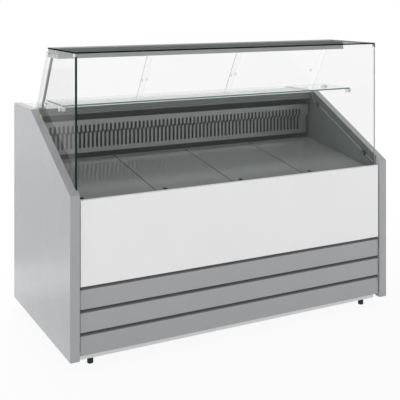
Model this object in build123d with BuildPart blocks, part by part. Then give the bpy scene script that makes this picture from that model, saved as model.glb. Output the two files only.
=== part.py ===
from build123d import *
from math import atan2, cos, degrees, radians, sin, tan
import os

# Refrigerated serve-over display case, in millimetres.
# +X runs to the customer's right, -Y faces the customer and +Z is up.
# The origin lies on the floor under the middle of the case.

# Overall sizes
body_length = 1500
depth = 810
glazing_rise = 1202
foot_height = 40

# Clearances
running_gap = 0.4
shaft_gap = 0.05
rest_gap = 0.3

# Sheet metal
sheet = 1.5
bend_radius = 2

# End panels: a sloped top, and a front lip that is wider than the panel behind it
end_panel_thickness = 35
end_panel_front_height = 646
end_panel_rear_height = 920
end_panel_slope_run = 540
end_panel_lip_width = 40
end_panel_lip_depth = 28
end_panel_edge = 2.5

# Base frame of square tube, its trays and feet
tube = 40
tube_depth = 50
tube_wall = 2
tube_above_foot_line = 24
frame_front = 28
frame_rear_setback = 45
upright = 30
cross_tube_inset = 50
cross_tube_spacing = 500
front_upright_spacing = 600
rear_upright_inset = 35
foot_inset = 70
foot_setback = 61
foot_radius = 12.5
foot_chamfer = 1.5
foot_shoulder = 3
foot_pad_height = 20
foot_stem_radius = 5
foot_nut_height = 12
foot_nut_width = 24
tray_lip = 18
tray_gap = 7

# Front cladding
cladding_gap = 5
front_panel_setback = 5
front_panel_height = 338
front_panel_return = 18
hat_margin = 20
slat_setback = 8
slat_count = 3
slat_height = 77.3
slat_pitch = 90.2
slat_first = 15.5
slat_return = 14
slat_tongue = 8
plinth_setback = 42
plinth_drop = 13
plinth_flange = 8

# Insulated tub
tub_front = 28
tub_front_wall = 48
tub_front_rise = 582
tub_bottom_rise = 417
tub_floor = 45
tub_rear_wall = 50
glass_groove_depth = 16
glass_groove_gap = 0.3
tub_skin = 0.8
pipe_hole_radius = 20

# Display deck of loose trays on two rails
deck_front = 80
deck_run = 505
deck_front_rise = 602.5
deck_angle = 8.15
deck_count = 4
deck_end_gap = 4
deck_seam = 1.5
deck_lip = 12
deck_rail = 15
deck_rail_wall = 2
deck_rail_inset = 6
finger_hole_radius = 10
finger_hole_side = 47
finger_hole_setback = 34

# Rear air grille, joggled, with slots through both levels
grille_end_gap = 12
grille_bottom_rise = 696
grille_height = 156
grille_behind_deck = 5
grille_joggle_rise = 90
grille_joggle_height = 12
grille_joggle_depth = 18
grille_return = 12
slot_pitch = 21
slot_width = 11
slot_end_margin = 48
slot_low_margin = 21
slot_high_margin = 23

# Glazing
glass = 6
glass_gap = 0.5
front_glass_setback = 40
side_glass_overlap = 40
side_glass_setback = 14
top_glass_rear = 400
slant = 30.8

# Lamp canopy, bolted through the side glasses, and the post that brings its cable up
canopy_front = 283
canopy_front_slant = 8
canopy_rear = 428
canopy_height = 35.5
canopy_wall = 2
lamp_end_gap = 100
lamp_width = 32
lamp_height = 6
lamp_setback = 372
bolt_places = (307.5, 388)
bolt_rise = 14.5
bolt_radius = 3
bolt_gap = 0.5
bolt_head_radius = 4.5
bolt_head = 2.5
nut_radius = 5.5
nut_height = 4
post_radius = 6
post_wall = 1.2
post_inset = 26
post_from_door_face = 10.5
post_foot_length = 34
post_foot_width = 16
post_foot_thickness = 4

# Worktop, its service ledge behind the door track, and the ribbed profile along its front edge
worktop_drop = 3
ledge_rise = 1.5
worktop_thickness = 25
worktop_front = 553
worktop_rear_setback = 20
profile_height = 33
profile_base = 3
profile_rib = 5
profile_rib_height = 7
profile_rib_count = 3

# Rear sliding doors on three tracks
door_count = 3
door_thickness = 4
door_pitch = 8
door_overlap = 24
door_end_gap = 5
track_wall = 3
track_groove_depth = 7
track_height = 12
upper_track_height = 19
upper_groove_depth = 16
door_engagement = 10
grip_inset = 26
grip_height = 126
grip_radius = 9
grip_hole_radius = 7
grip_cup_radius = 5.5
grip_cup_depth = 4
grip_flange = 1

# Glass shelf and its clamps
shelf_end_gap = 3.5
shelf_front = 220
shelf_depth = 226
shelf_rise = 971.5
clamp_inset = 14
clamp_width = 16
clamp_reach = 16
clamp_drop = 20
clamp_corner = 5
clamp_screw_radius = 4.5
clamp_screw_recess = 4
clamp_cap_radius = 10
clamp_cap = 4
clamp_bolt_radius = 4

# Brackets on the glass
clip_places = (116, 498)
clip_length = 22
clip_floor = 8
clip_lip = 9
clip_inner = 6.5
corner_reach = 20
corner_drop = 14
corner_edge = 3
corner_plate = 3

# Rear panels and controls
control_box_inset = 60
control_box_length = 360
control_box_height = 76
control_box_depth = 25
control_box_drop = 12
controller_width = 78
controller_height = 35
controller_bezel = 4
controller_body_width = 70
controller_body_height = 28
controller_body_depth = 18
controller_inset = 90
display_width = 38
display_height = 20
display_recess = 1.5
button_side = 28.5
button_pitch = 9.5
button_width = 10
button_height = 6
button_proud = 1.2
button_travel = 0.8
button_well = 3
switch_insets = {"power_switch": 215, "light_switch": 285}
rocker_width = 22
rocker_height = 16
rocker_gap = 0.8
rocker_depth = 8
rocker_proud = 0.6
rocker_dish = 12
rocker_pivot_depth = 3
rocker_pin_radius = 1.5
rocker_pin_length = 1.2
switch_wall = 2.4
switch_bezel = 1.6
louvre_columns = 3
louvre_column_pitch = 470
louvre_rows = 9
louvre_pitch = 28
louvre_length = 400
louvre_width = 11
gland_inset = 110
gland_rise = 100
gland_radius = 11
gland_length = 16
gland_nut_radius = 15
gland_bore_radius = 4.5

# Refrigeration
coil_fin = 2
coil_fin_proud = 6
coil_plate = 3
coil_bend_radius = 14
coil_tube_radius = 5
evaporator_half_length = 450
evaporator_front = 445
evaporator_depth = 105
evaporator_height = 140
evaporator_fin_pitch = 25
fan_plate_half_length = 600
fan_plate_setback = 400
fan_plate_height = 160
evaporator_fan_places = {"evaporator_fan_left": -230, "evaporator_fan_right": 230}
evaporator_fan_level = 80
evaporator_fan_radius = 68
fan_tip_gap = 6
fan_strap = 34
fan_hub_length = 22
blade_pitch = 28
fan_plate_gap = 4
motor_radius = 28
motor_length = 46
shaft_radius = 3
condenser_half_length = 170
condenser_setback = 600
condenser_depth = 80
condenser_height = 290
condenser_fin_pitch = 20
condenser_fan_radius = 112
condenser_cowl_depth = 60
compressor_place = 430
compressor_setback = 420
compressor_radius = 78
compressor_height = 205
compressor_dome = 43
compressor_base_edge = 16
compressor_seam = 3
compressor_seam_height = 8
compressor_foot = 12
compressor_foot_radius = 12
compressor_foot_pitch = 160
compressor_plate = 4
compressor_plate_size = 200
terminal_box_depth = 34
terminal_box_width = 70
terminal_box_height = 85
terminal_box_level = 50
pipe_hole_offset = 60
pipe_radius = 5
pipe_bend = 30
pipe_spread = 18

half = body_length / 2
front = -depth / 2
panel_bottom = foot_height
height = panel_bottom + glazing_rise
panel_front_top = panel_bottom + end_panel_front_height
panel_rear_top = panel_bottom + end_panel_rear_height
slope = atan2(end_panel_rear_height - end_panel_front_height, end_panel_slope_run)
lip_inner = half + end_panel_thickness - end_panel_lip_width
cladding_half = lip_inner - cladding_gap
tube_bottom = panel_bottom + tube_above_foot_line
tube_top = tube_bottom + tube
frame_rear = depth - frame_rear_setback
tub_rear = frame_rear
tub_bottom = panel_bottom + tub_bottom_rise
tub_front_top = panel_bottom + tub_front_rise
tub_inner_floor = tub_bottom + tub_floor
deck_front_level = panel_bottom + deck_front_rise
grille_half_length = half - grille_end_gap
grille_bottom = panel_bottom + grille_bottom_rise
grille_top = grille_bottom + grille_height
grille_lower_setback = deck_front + deck_run + grille_behind_deck
grille_upper_setback = grille_lower_setback - grille_joggle_depth
grille_joggle_low = grille_bottom + grille_joggle_rise
grille_joggle_high = grille_joggle_low + grille_joggle_height
slot_low = grille_bottom + slot_low_margin
slot_high = grille_top - slot_high_margin
slot_count = int((2 * (grille_half_length - slot_end_margin) - slot_width) / slot_pitch) + 1
shelf_top = panel_bottom + shelf_rise
worktop_rear = depth - worktop_rear_setback
door_span = body_length - 2 * door_end_gap
post_place = half - post_inset
worktop_top = panel_rear_top - worktop_drop
worktop_bottom = worktop_top - worktop_thickness
top_glass_bottom = height - glass
canopy_bottom = top_glass_bottom - canopy_height
side_glass_outer = half - glass_gap
side_glass_inner = side_glass_outer - glass
shelf_half_length = side_glass_inner - shelf_end_gap
lamp_half_length = side_glass_inner - lamp_end_gap
cross_tube_end = half - cross_tube_inset
cross_tube_places = (-cross_tube_end, -cross_tube_spacing / 2, cross_tube_spacing / 2, cross_tube_end)
front_upright_places = (-front_upright_spacing, 0, front_upright_spacing)
rear_upright_places = (-half + rear_upright_inset, half - rear_upright_inset)
tray_front = frame_front + tube_depth + tray_gap
tray_rear = frame_rear - tube_depth - tray_gap
control_box_right = half - control_box_inset
control_box_left = control_box_right - control_box_length
controller_place = control_box_left + controller_inset
button_place = controller_place + button_side
button_levels = (button_pitch, 0, -button_pitch)
switch_places = {label: control_box_left + inset for label, inset in switch_insets.items()}
gland_place = -half + gland_inset
gland_level = panel_bottom + gland_rise
lean = radians(slant)
tilt = radians(deck_angle)
door_base = front + canopy_rear + (canopy_bottom - worktop_top) * tan(lean)
door_rise = (canopy_bottom - worktop_top) / cos(lean)
track_depth = track_wall * 2 + door_pitch * (door_count - 1) + door_thickness
ledge_front = door_base - front + track_depth / cos(lean) + rest_gap
ledge_top = worktop_top + ledge_rise
post_base = door_base - post_from_door_face / cos(lean)
post_top = post_base - (canopy_bottom - worktop_top) * tan(lean)
post_bore = post_radius - post_wall
bolt_centres = [(front + y, canopy_bottom + bolt_rise) for y in bolt_places]
shelf_bottom = shelf_top - glass
clamp_places = (shelf_front + clamp_inset, shelf_front + shelf_depth - clamp_inset)
clamp_centres = [(front + y, shelf_bottom - clamp_drop / 2) for y in clamp_places]


def save(part, label):
    """Names a finished piece and writes it."""
    part.label = label
    export_step(part, f"parts/{label}.step")


def section(points, x_from, x_to, mode=Mode.ADD):
    """Extrudes a closed outline of (Y, Z) points, Y counted from the case's front, along X."""
    with BuildSketch(Plane.YZ.offset(x_from)) as outline:
        with BuildLine():
            Polyline(*[(front + y, z) for y, z in points], close=True)
        make_face()
    extrude(outline.sketch, amount=x_to - x_from, mode=mode)


def folded_sheet(plane, points, length, side=Side.LEFT):
    """Folds a sheet along points in a plane across X and extrudes it."""
    with BuildSketch(plane) as outline:
        with BuildLine():
            FilletPolyline(*points, radius=bend_radius)
            offset(amount=sheet, side=side)
        make_face()
    extrude(outline.sketch, amount=length)


def facing(y):
    """The upright plane at a distance behind the case's front, seen from the front."""
    return Plane.XZ.offset(-(front + y))


def box_between(low, high, mode=Mode.ADD):
    """A block between two corners, with Y counted from the case's front."""
    centre = [(a + b) / 2 for a, b in zip(low, high)]
    size = [b - a for a, b in zip(low, high)]
    with Locations((centre[0], front + centre[1], centre[2])):
        Box(*size, mode=mode)


def slope_level(y):
    """Height of the end panels' sloped top at a distance behind the front."""
    return panel_front_top + y * tan(slope)


# End panels
panel_outline = (
    (0, panel_bottom),
    (depth, panel_bottom),
    (depth, panel_rear_top),
    (end_panel_slope_run, panel_rear_top),
    (0, panel_front_top),
)
lip_outline = (
    (0, panel_bottom),
    (end_panel_lip_depth, panel_bottom),
    (end_panel_lip_depth, slope_level(end_panel_lip_depth)),
    (0, panel_front_top),
)

with BuildPart() as end_panel_right:
    section(panel_outline, half, half + end_panel_thickness)
    section(lip_outline, lip_inner, half)
    fillet(end_panel_right.faces().sort_by(Axis.X)[-1].edges(), end_panel_edge)
save(end_panel_right.part, "end_panel_right")

with BuildPart() as end_panel_left:
    mirror(end_panel_right.part, about=Plane.YZ)
save(end_panel_left.part, "end_panel_left")

# Base frame
foot_front = front + foot_setback
foot_rear = front + frame_rear - (foot_setback - frame_front)
foot_places = {
    "foot_front_left": (-half + foot_inset, foot_front),
    "foot_front_right": (half - foot_inset, foot_front),
    "foot_rear_left": (-half + foot_inset, foot_rear),
    "foot_rear_right": (half - foot_inset, foot_rear),
}
tube_middle = (tube_bottom + tube_top) / 2

with BuildPart() as base_frame:
    with BuildSketch(Plane.YZ.offset(-half)) as long_tubes:
        for y in (frame_front + tube_depth / 2, frame_rear - tube_depth / 2):
            with Locations((front + y, tube_middle)):
                Rectangle(tube_depth, tube)
                Rectangle(tube_depth - 2 * tube_wall, tube - 2 * tube_wall, mode=Mode.SUBTRACT)
    extrude(amount=body_length)
    with BuildSketch(facing(frame_front + tube_depth)) as cross_tubes:
        with Locations(*[(x, tube_middle) for x in cross_tube_places]):
            Rectangle(tube, tube)
            Rectangle(tube - 2 * tube_wall, tube - 2 * tube_wall, mode=Mode.SUBTRACT)
    extrude(amount=-(frame_rear - frame_front - 2 * tube_depth))
    front_row = [(x, front + frame_front + upright / 2) for x in front_upright_places]
    rear_row = [(x, front + frame_rear - upright / 2) for x in rear_upright_places]
    with BuildSketch(Plane.XY.offset(tube_top)) as uprights:
        with Locations(*front_row, *rear_row):
            Rectangle(upright, upright)
            Rectangle(upright - 2 * tube_wall, upright - 2 * tube_wall, mode=Mode.SUBTRACT)
    extrude(amount=tub_bottom - tube_top)
    with BuildSketch(Plane.XY.offset(tube_bottom + tube_wall)) as foot_nuts:
        with Locations(*foot_places.values()):
            Rectangle(foot_nut_width, foot_nut_width)
    extrude(amount=foot_nut_height)
    with Locations(*[(x, y, tube_bottom) for x, y in foot_places.values()]):
        Hole(foot_stem_radius + running_gap, depth=2 * (tube_wall + foot_nut_height))
save(base_frame.part, "base_frame")

# Levelling feet
stem_top = tube_bottom + tube_wall + foot_nut_height + tube_wall
for label, (x, y) in foot_places.items():
    with BuildPart() as foot:
        with BuildSketch(Plane(origin=(x, y, 0), x_dir=(1, 0, 0), z_dir=(0, -1, 0))) as foot_profile:
            with BuildLine():
                Polyline(
                    (0, 0),
                    (foot_radius - foot_chamfer, 0),
                    (foot_radius, foot_chamfer),
                    (foot_radius, foot_pad_height),
                    (foot_radius - foot_shoulder, foot_pad_height + foot_shoulder),
                    (foot_stem_radius, foot_pad_height + foot_shoulder),
                    (foot_stem_radius, stem_top),
                    (0, stem_top),
                    close=True,
                )
            make_face()
        revolve(axis=Axis((x, y, 0), (0, 0, 1)))
    save(foot.part, label)

# Tray that carries the condensing unit
with BuildPart() as unit_tray:
    box_between((-half + tube, tray_front, tube_top), (half - tube, tray_rear, tube_top + tray_lip))
    box_between(
        (-half + tube + sheet, tray_front + sheet, tube_top + sheet),
        (half - tube - sheet, tray_rear - sheet, tube_top + tray_lip),
        mode=Mode.SUBTRACT,
    )
save(unit_tray.part, "unit_tray")

# Front cladding
panel_base = panel_bottom + slat_first + slat_count * slat_pitch
panel_top = panel_base + front_panel_height
hat_bottom = tub_bottom + hat_margin
hat_top = tub_front_top - hat_margin

with BuildPart() as front_panel:
    box_between(
        (-cladding_half, front_panel_setback, panel_base),
        (cladding_half, front_panel_setback + front_panel_return, panel_top),
    )
    box_between(
        (-cladding_half + sheet, front_panel_setback + sheet, panel_base + sheet),
        (cladding_half - sheet, front_panel_setback + front_panel_return, panel_top - sheet),
        mode=Mode.SUBTRACT,
    )
    for x in front_upright_places:
        box_between(
            (x - upright, front_panel_setback + sheet, hat_bottom),
            (x + upright, tub_front, hat_top),
        )
    fillet(front_panel.faces().sort_by(Axis.Y)[0].edges(), sheet)
save(front_panel.part, "front_panel")

groove = slat_pitch - slat_height
slat_back = frame_front - slat_setback
slat_labels = ("slat_lower", "slat_middle", "slat_upper")
for number, label in enumerate(slat_labels):
    base = panel_bottom + slat_first + number * slat_pitch
    shoulder = base + slat_height
    face = front + slat_setback
    with BuildPart() as slat:
        folded_sheet(
            Plane.YZ.offset(-cladding_half),
            (
                (face + slat_return, base),
                (face, base),
                (face, shoulder),
                (face + slat_back - sheet, shoulder + groove),
                (face + slat_back - sheet, shoulder + groove + slat_tongue),
            ),
            2 * cladding_half,
            Side.RIGHT,
        )
    save(slat.part, label)

with BuildPart() as plinth_strip:
    plinth_low = panel_bottom - plinth_drop
    folded_sheet(
        Plane.YZ.offset(-cladding_half),
        (
            (front + plinth_setback, plinth_low),
            (front + plinth_setback, tube_bottom),
            (front + plinth_setback + plinth_flange, tube_bottom),
        ),
        2 * cladding_half,
        Side.RIGHT,
    )
save(plinth_strip.part, "plinth_strip")

# Insulated tub, with a groove along the top of its front wall for the front glass
tub_inner_front = tub_front + tub_front_wall
tub_inner_rear = tub_rear - tub_rear_wall
groove_floor = tub_front_top - glass_groove_depth
groove_front = front_glass_setback - glass_groove_gap
groove_rear = front_glass_setback + glass + glass_groove_gap
pipe_hole = (compressor_place - pipe_hole_offset, condenser_setback + condenser_depth / 2)

tub_outline = (
    (tub_front, tub_bottom),
    (tub_rear, tub_bottom),
    (tub_rear, worktop_bottom),
    (tub_inner_rear, worktop_bottom),
    (tub_inner_rear, tub_inner_floor),
    (tub_inner_front, tub_inner_floor),
    (tub_inner_front, tub_front_top),
    (groove_rear, tub_front_top),
    (groove_rear, groove_floor),
    (groove_front, groove_floor),
    (groove_front, tub_front_top),
    (tub_front, tub_front_top),
)
with BuildPart() as insulated_tub:
    with BuildSketch(Plane.YZ.offset(-half)) as tub_skins:
        with BuildLine():
            Polyline(*[(front + y, z) for y, z in tub_outline], close=True)
        make_face()
        offset(amount=-tub_skin, kind=Kind.INTERSECTION, mode=Mode.SUBTRACT)
    extrude(amount=body_length)
    with Locations((pipe_hole[0], front + pipe_hole[1], tub_inner_floor)):
        Hole(pipe_hole_radius, depth=tub_floor)
save(insulated_tub.part, "insulated_tub")

# Display deck
deck_length = deck_run / cos(tilt)
deck_pitch = (body_length - 2 * deck_end_gap) / deck_count
deck_width = deck_pitch - deck_seam


def deck_plane(x):
    """The plane across X at a place along the deck, with its first axis up the deck's slope."""
    return Plane(
        origin=(x, front + deck_front, deck_front_level),
        x_dir=(0, cos(tilt), sin(tilt)),
        z_dir=(1, 0, 0),
    )


for number in range(deck_count):
    left = -half + deck_end_gap + number * deck_pitch + deck_seam / 2
    deck_surface = Plane(
        origin=(left, front + deck_front, deck_front_level),
        x_dir=(1, 0, 0),
        z_dir=(0, -sin(tilt), cos(tilt)),
    )
    with BuildPart() as deck_panel:
        folded_sheet(
            deck_plane(left),
            ((0, -deck_lip), (0, 0), (deck_length, 0), (deck_length, -deck_lip)),
            deck_width,
            Side.RIGHT,
        )
        with BuildSketch(deck_surface) as finger_hole:
            with Locations((finger_hole_side, finger_hole_setback)):
                Circle(finger_hole_radius)
        extrude(amount=-2 * sheet, mode=Mode.SUBTRACT)
    save(deck_panel.part, f"deck_panel_{number + 1}")

rail_top = -sheet - rest_gap
rail_reach = deck_rail_inset + deck_rail
with BuildPart() as deck_rails:
    with BuildSketch(deck_plane(-half)) as rail_sections:
        for start in (deck_rail_inset, deck_length - rail_reach):
            with Locations((start + deck_rail / 2, rail_top - deck_rail_wall / 2)):
                Rectangle(deck_rail, deck_rail_wall)
            with Locations((start + deck_rail_wall / 2, rail_top - deck_rail / 2)):
                Rectangle(deck_rail_wall, deck_rail)
    extrude(amount=body_length)
save(deck_rails.part, "deck_rails")

# Rear air grille
with BuildPart() as air_grille:
    folded_sheet(
        Plane.YZ.offset(-grille_half_length),
        (
            (front + grille_lower_setback + grille_return, grille_bottom),
            (front + grille_lower_setback, grille_bottom),
            (front + grille_lower_setback, grille_joggle_low),
            (front + grille_upper_setback, grille_joggle_high),
            (front + grille_upper_setback, grille_top),
            (front + grille_upper_setback + grille_return, grille_top),
        ),
        2 * grille_half_length,
        Side.RIGHT,
    )
    for x in (-grille_half_length, grille_half_length - sheet):
        section(
            (
                (grille_lower_setback + sheet, grille_bottom),
                (tub_inner_rear, grille_bottom),
                (tub_inner_rear, grille_top),
                (grille_upper_setback + sheet, grille_top),
                (grille_upper_setback + sheet, grille_joggle_high),
                (grille_lower_setback + sheet, grille_joggle_low),
            ),
            x,
            x + sheet,
        )
    with BuildSketch(facing(grille_upper_setback - sheet)) as slots:
        with Locations((0, (slot_low + slot_high) / 2)):
            with GridLocations(slot_pitch, 1, slot_count, 1):
                SlotOverall(slot_high - slot_low, slot_width, rotation=90)
    extrude(amount=-(grille_lower_setback - grille_upper_setback + 4 * sheet), mode=Mode.SUBTRACT)
save(air_grille.part, "air_grille")


# Coils, fans and the condensing unit
def coil(label, half_length, setback, coil_depth, level, coil_height, fin_pitch):
    """A finned coil between two end plates, with return bends at both ends."""
    core_low = level + coil_fin_proud
    with BuildPart() as block:
        box_between(
            (-half_length, setback + coil_fin_proud, core_low),
            (half_length, setback + coil_depth - coil_fin_proud, level + coil_height - coil_fin_proud),
        )
        with BuildSketch(Plane.YZ) as fin:
            with Locations((front + setback + coil_depth / 2, level + coil_height / 2)):
                Rectangle(coil_depth, coil_height)
        fin_count = int(2 * (half_length - fin_pitch) / fin_pitch)
        for number in range(fin_count):
            place = (number - (fin_count - 1) / 2) * fin_pitch
            extrude(fin.sketch.moved(Location((place - coil_fin / 2, 0, 0))), amount=coil_fin)
        for x in (-half_length, half_length - coil_plate):
            extrude(fin.sketch.moved(Location((x, 0, 0))), amount=coil_plate)
        bend_levels = [level + coil_height * share for share in (0.25, 0.5, 0.75)]
        for x, turn in ((-half_length, 90), (half_length, -90)):
            for bend_level in bend_levels:
                with Locations(Location((x, front + setback + coil_depth / 2, bend_level), (0, 0, turn))):
                    Torus(coil_bend_radius, coil_tube_radius, major_angle=180)
    save(block.part, label)


def fan_wheel(label, place, setback, level, radius, blade_count):
    """A fan wheel on a shaft along Y, its hub starting at a distance behind the front."""
    hub_radius = motor_radius * 0.75
    middle = setback + fan_hub_length / 2
    with BuildPart() as wheel:
        with BuildSketch(facing(setback)) as hub:
            with Locations((place, level)):
                Circle(hub_radius)
        extrude(amount=-fan_hub_length)
        for number in range(blade_count):
            turn = radians(number * 360 / blade_count)
            pitch = radians(blade_pitch)
            blade_plane = Plane(
                origin=(place, front + middle, level),
                x_dir=(cos(turn), 0, sin(turn)),
                z_dir=(-sin(turn) * sin(pitch), -cos(pitch), cos(turn) * sin(pitch)),
            )
            with BuildSketch(blade_plane) as blade:
                with BuildLine():
                    Polyline(
                        (hub_radius - 3, -hub_radius * 0.4),
                        (radius * 0.97, -hub_radius * 0.95),
                        (radius * 0.99, 0),
                        (radius * 0.93, hub_radius * 0.95),
                        (hub_radius - 3, hub_radius * 0.4),
                        close=True,
                    )
                make_face()
            extrude(amount=sheet / 2, both=True)
        with BuildSketch(facing(setback)) as bore:
            with Locations((place, level)):
                Circle(shaft_radius + shaft_gap)
        extrude(amount=-fan_hub_length, mode=Mode.SUBTRACT)
    save(wheel.part, label)


def motor(place, setback, level):
    """A fan motor in front of its strap, with a shaft that reaches through the fan's hub."""
    with BuildSketch(facing(setback)) as body:
        with Locations((place, level)):
            Circle(motor_radius)
    extrude(body.sketch, amount=motor_length)
    with BuildSketch(facing(setback)) as shaft:
        with Locations((place, level)):
            Circle(shaft_radius)
    extrude(shaft.sketch, amount=-(sheet + fan_plate_gap + fan_hub_length))


coil(
    "evaporator",
    evaporator_half_length,
    evaporator_front,
    evaporator_depth,
    tub_inner_floor,
    evaporator_height,
    evaporator_fin_pitch,
)
fan_axis = tub_inner_floor + evaporator_fan_level
with BuildPart() as fan_plate:
    with BuildSketch(facing(fan_plate_setback)) as plate:
        with Locations((0, tub_inner_floor + fan_plate_height / 2)):
            Rectangle(2 * fan_plate_half_length, fan_plate_height)
        with Locations(*[(x, fan_axis) for x in evaporator_fan_places.values()]):
            Circle(evaporator_fan_radius + fan_tip_gap, mode=Mode.SUBTRACT)
            Rectangle(fan_strap, 2 * (evaporator_fan_radius + fan_tip_gap) + sheet)
            Circle(shaft_radius + running_gap, mode=Mode.SUBTRACT)
    extrude(amount=-sheet)
save(fan_plate.part, "fan_plate")

with BuildPart() as evaporator_fan_motors:
    for x in evaporator_fan_places.values():
        motor(x, fan_plate_setback, fan_axis)
save(evaporator_fan_motors.part, "evaporator_fan_motors")

for label, x in evaporator_fan_places.items():
    fan_wheel(label, x, fan_plate_setback + sheet + fan_plate_gap, fan_axis, evaporator_fan_radius, 5)

unit_floor = tube_top + sheet
cowl_front = condenser_setback - condenser_cowl_depth
condenser_axis = unit_floor + condenser_height / 2
coil(
    "condenser",
    condenser_half_length,
    condenser_setback,
    condenser_depth,
    unit_floor,
    condenser_height,
    condenser_fin_pitch,
)
with BuildPart() as condenser_cowl:
    box_between(
        (-condenser_half_length, cowl_front, unit_floor),
        (condenser_half_length, condenser_setback, unit_floor + condenser_height),
    )
    box_between(
        (-condenser_half_length + sheet, cowl_front + sheet, unit_floor + sheet),
        (condenser_half_length - sheet, condenser_setback, unit_floor + condenser_height - sheet),
        mode=Mode.SUBTRACT,
    )
    with BuildSketch(facing(cowl_front)) as cowl_mouth:
        with Locations((0, condenser_axis)):
            Circle(condenser_fan_radius + fan_tip_gap)
            Rectangle(fan_strap, 2 * (condenser_fan_radius + fan_tip_gap) + sheet, mode=Mode.SUBTRACT)
            Circle(shaft_radius + running_gap)
    extrude(amount=-sheet, mode=Mode.SUBTRACT)
    motor(0, cowl_front, condenser_axis)
save(condenser_cowl.part, "condenser_cowl")
fan_wheel(
    "condenser_fan",
    0,
    cowl_front + sheet + fan_plate_gap,
    condenser_axis,
    condenser_fan_radius,
    6,
)

compressor_y = front + compressor_setback
can_bottom = unit_floor + compressor_foot + compressor_plate
with BuildPart() as compressor:
    with Locations((compressor_place, compressor_y, can_bottom)):
        Cylinder(
            compressor_radius,
            compressor_height,
            align=(Align.CENTER, Align.CENTER, Align.MIN),
        )
    rims = compressor.edges().filter_by(GeomType.CIRCLE).sort_by(Axis.Z)
    fillet(rims[-1], compressor_dome)
    fillet(compressor.edges().filter_by(GeomType.CIRCLE).sort_by(Axis.Z)[0], compressor_base_edge)
    with Locations((compressor_place, compressor_y, can_bottom + compressor_height / 2)):
        Cylinder(compressor_radius + compressor_seam, compressor_seam_height)
    with Locations((compressor_place, compressor_y, can_bottom - compressor_plate / 2)):
        Box(compressor_plate_size, compressor_plate_size, compressor_plate)
    with Locations((compressor_place, compressor_y, unit_floor)):
        with GridLocations(compressor_foot_pitch, compressor_foot_pitch, 2, 2):
            Cylinder(
                compressor_foot_radius,
                compressor_foot,
                align=(Align.CENTER, Align.CENTER, Align.MIN),
            )
    terminal_low = can_bottom + terminal_box_level
    box_between(
        (compressor_place, compressor_setback - terminal_box_width / 2, terminal_low),
        (
            compressor_place + compressor_radius + terminal_box_depth,
            compressor_setback + terminal_box_width / 2,
            terminal_low + terminal_box_height,
        ),
    )
save(compressor.part, "compressor")

suction_x = pipe_hole[0] - pipe_spread / 2
liquid_x = pipe_hole[0] + pipe_spread / 2
hole_y = front + pipe_hole[1]
coil_y = front + evaporator_front + evaporator_depth / 2
suction_level = tub_inner_floor + evaporator_height * 0.88
liquid_level = tub_inner_floor + evaporator_height * 0.12
pipe_ceiling = tub_bottom - pipe_bend
outlet_level = unit_floor + condenser_height * 0.12
with BuildPart() as refrigerant_pipes:
    runs = (
        (
            (compressor_place, compressor_y, can_bottom + compressor_height),
            (compressor_place, compressor_y, pipe_ceiling),
            (suction_x, hole_y, pipe_ceiling),
            (suction_x, hole_y, suction_level),
            (evaporator_half_length + 2 * pipe_bend, hole_y, suction_level),
            (evaporator_half_length + 2 * pipe_bend, coil_y, suction_level),
            (evaporator_half_length, coil_y, suction_level),
        ),
        (
            (condenser_half_length, hole_y, outlet_level),
            (liquid_x, hole_y, outlet_level),
            (liquid_x, hole_y, liquid_level),
            (evaporator_half_length + 2 * pipe_bend, hole_y, liquid_level),
            (evaporator_half_length + 2 * pipe_bend, coil_y, liquid_level),
            (evaporator_half_length, coil_y, liquid_level),
        ),
    )
    for run in runs:
        with BuildLine() as path:
            FilletPolyline(*run, radius=pipe_bend)
        with BuildSketch(Plane(origin=path.line @ 0, z_dir=path.line % 0)) as bore:
            Circle(pipe_radius)
        sweep(bore.sketch, path=path.line)
save(refrigerant_pipes.part, "refrigerant_pipes")

# Worktop and its ribbed front profile
with BuildPart() as worktop:
    section(
        (
            (worktop_front, worktop_bottom),
            (worktop_rear, worktop_bottom),
            (worktop_rear, ledge_top),
            (ledge_front, ledge_top),
            (ledge_front, worktop_top),
            (worktop_front, worktop_top),
        ),
        -half,
        half,
    )
    rear_edges = worktop.edges().filter_by(Axis.X).sort_by(Axis.Y)[-2:]
    fillet(rear_edges, end_panel_edge)
    with BuildSketch(Plane.XY.offset(worktop_top)) as wiring_holes:
        with Locations((-post_place, post_base)):
            Circle(post_bore)
    extrude(amount=-worktop_thickness, mode=Mode.SUBTRACT)
save(worktop.part, "worktop")

with BuildPart() as worktop_profile:
    profile_low = worktop_top - profile_height
    box_between(
        (-side_glass_inner, worktop_front - profile_base, profile_low),
        (side_glass_inner, worktop_front, worktop_top),
    )
    rib_step = (profile_height - profile_rib_height) / (profile_rib_count - 1)
    for number in range(profile_rib_count):
        rib_low = profile_low + number * rib_step
        box_between(
            (-side_glass_inner, worktop_front - profile_base - profile_rib, rib_low),
            (side_glass_inner, worktop_front - profile_base, rib_low + profile_rib_height),
        )
    rib_edges = worktop_profile.edges().filter_by(Axis.X).group_by(Axis.Y)[0]
    fillet(rib_edges, profile_rib_height * 0.3)
save(worktop_profile.part, "worktop_profile")

# Rear panels and controls
with BuildPart() as rear_panel:
    box_between((-half, tub_rear, tub_bottom), (half, tub_rear + sheet, worktop_bottom))
save(rear_panel.part, "rear_panel")

with BuildPart() as service_grille:
    grille_level = (tube_bottom + tub_bottom) / 2
    box_between((-half, frame_rear, tube_bottom), (half, frame_rear + sheet, tub_bottom))
    with BuildSketch(facing(frame_rear)) as louvres:
        with Locations((0, grille_level + tube / 2)):
            with GridLocations(louvre_column_pitch, louvre_pitch, louvre_columns, louvre_rows):
                Rectangle(louvre_length, louvre_width)
        with Locations((gland_place, gland_level)):
            Circle(gland_radius + rest_gap)
    extrude(amount=-sheet, mode=Mode.SUBTRACT)
save(service_grille.part, "service_grille")

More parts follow.
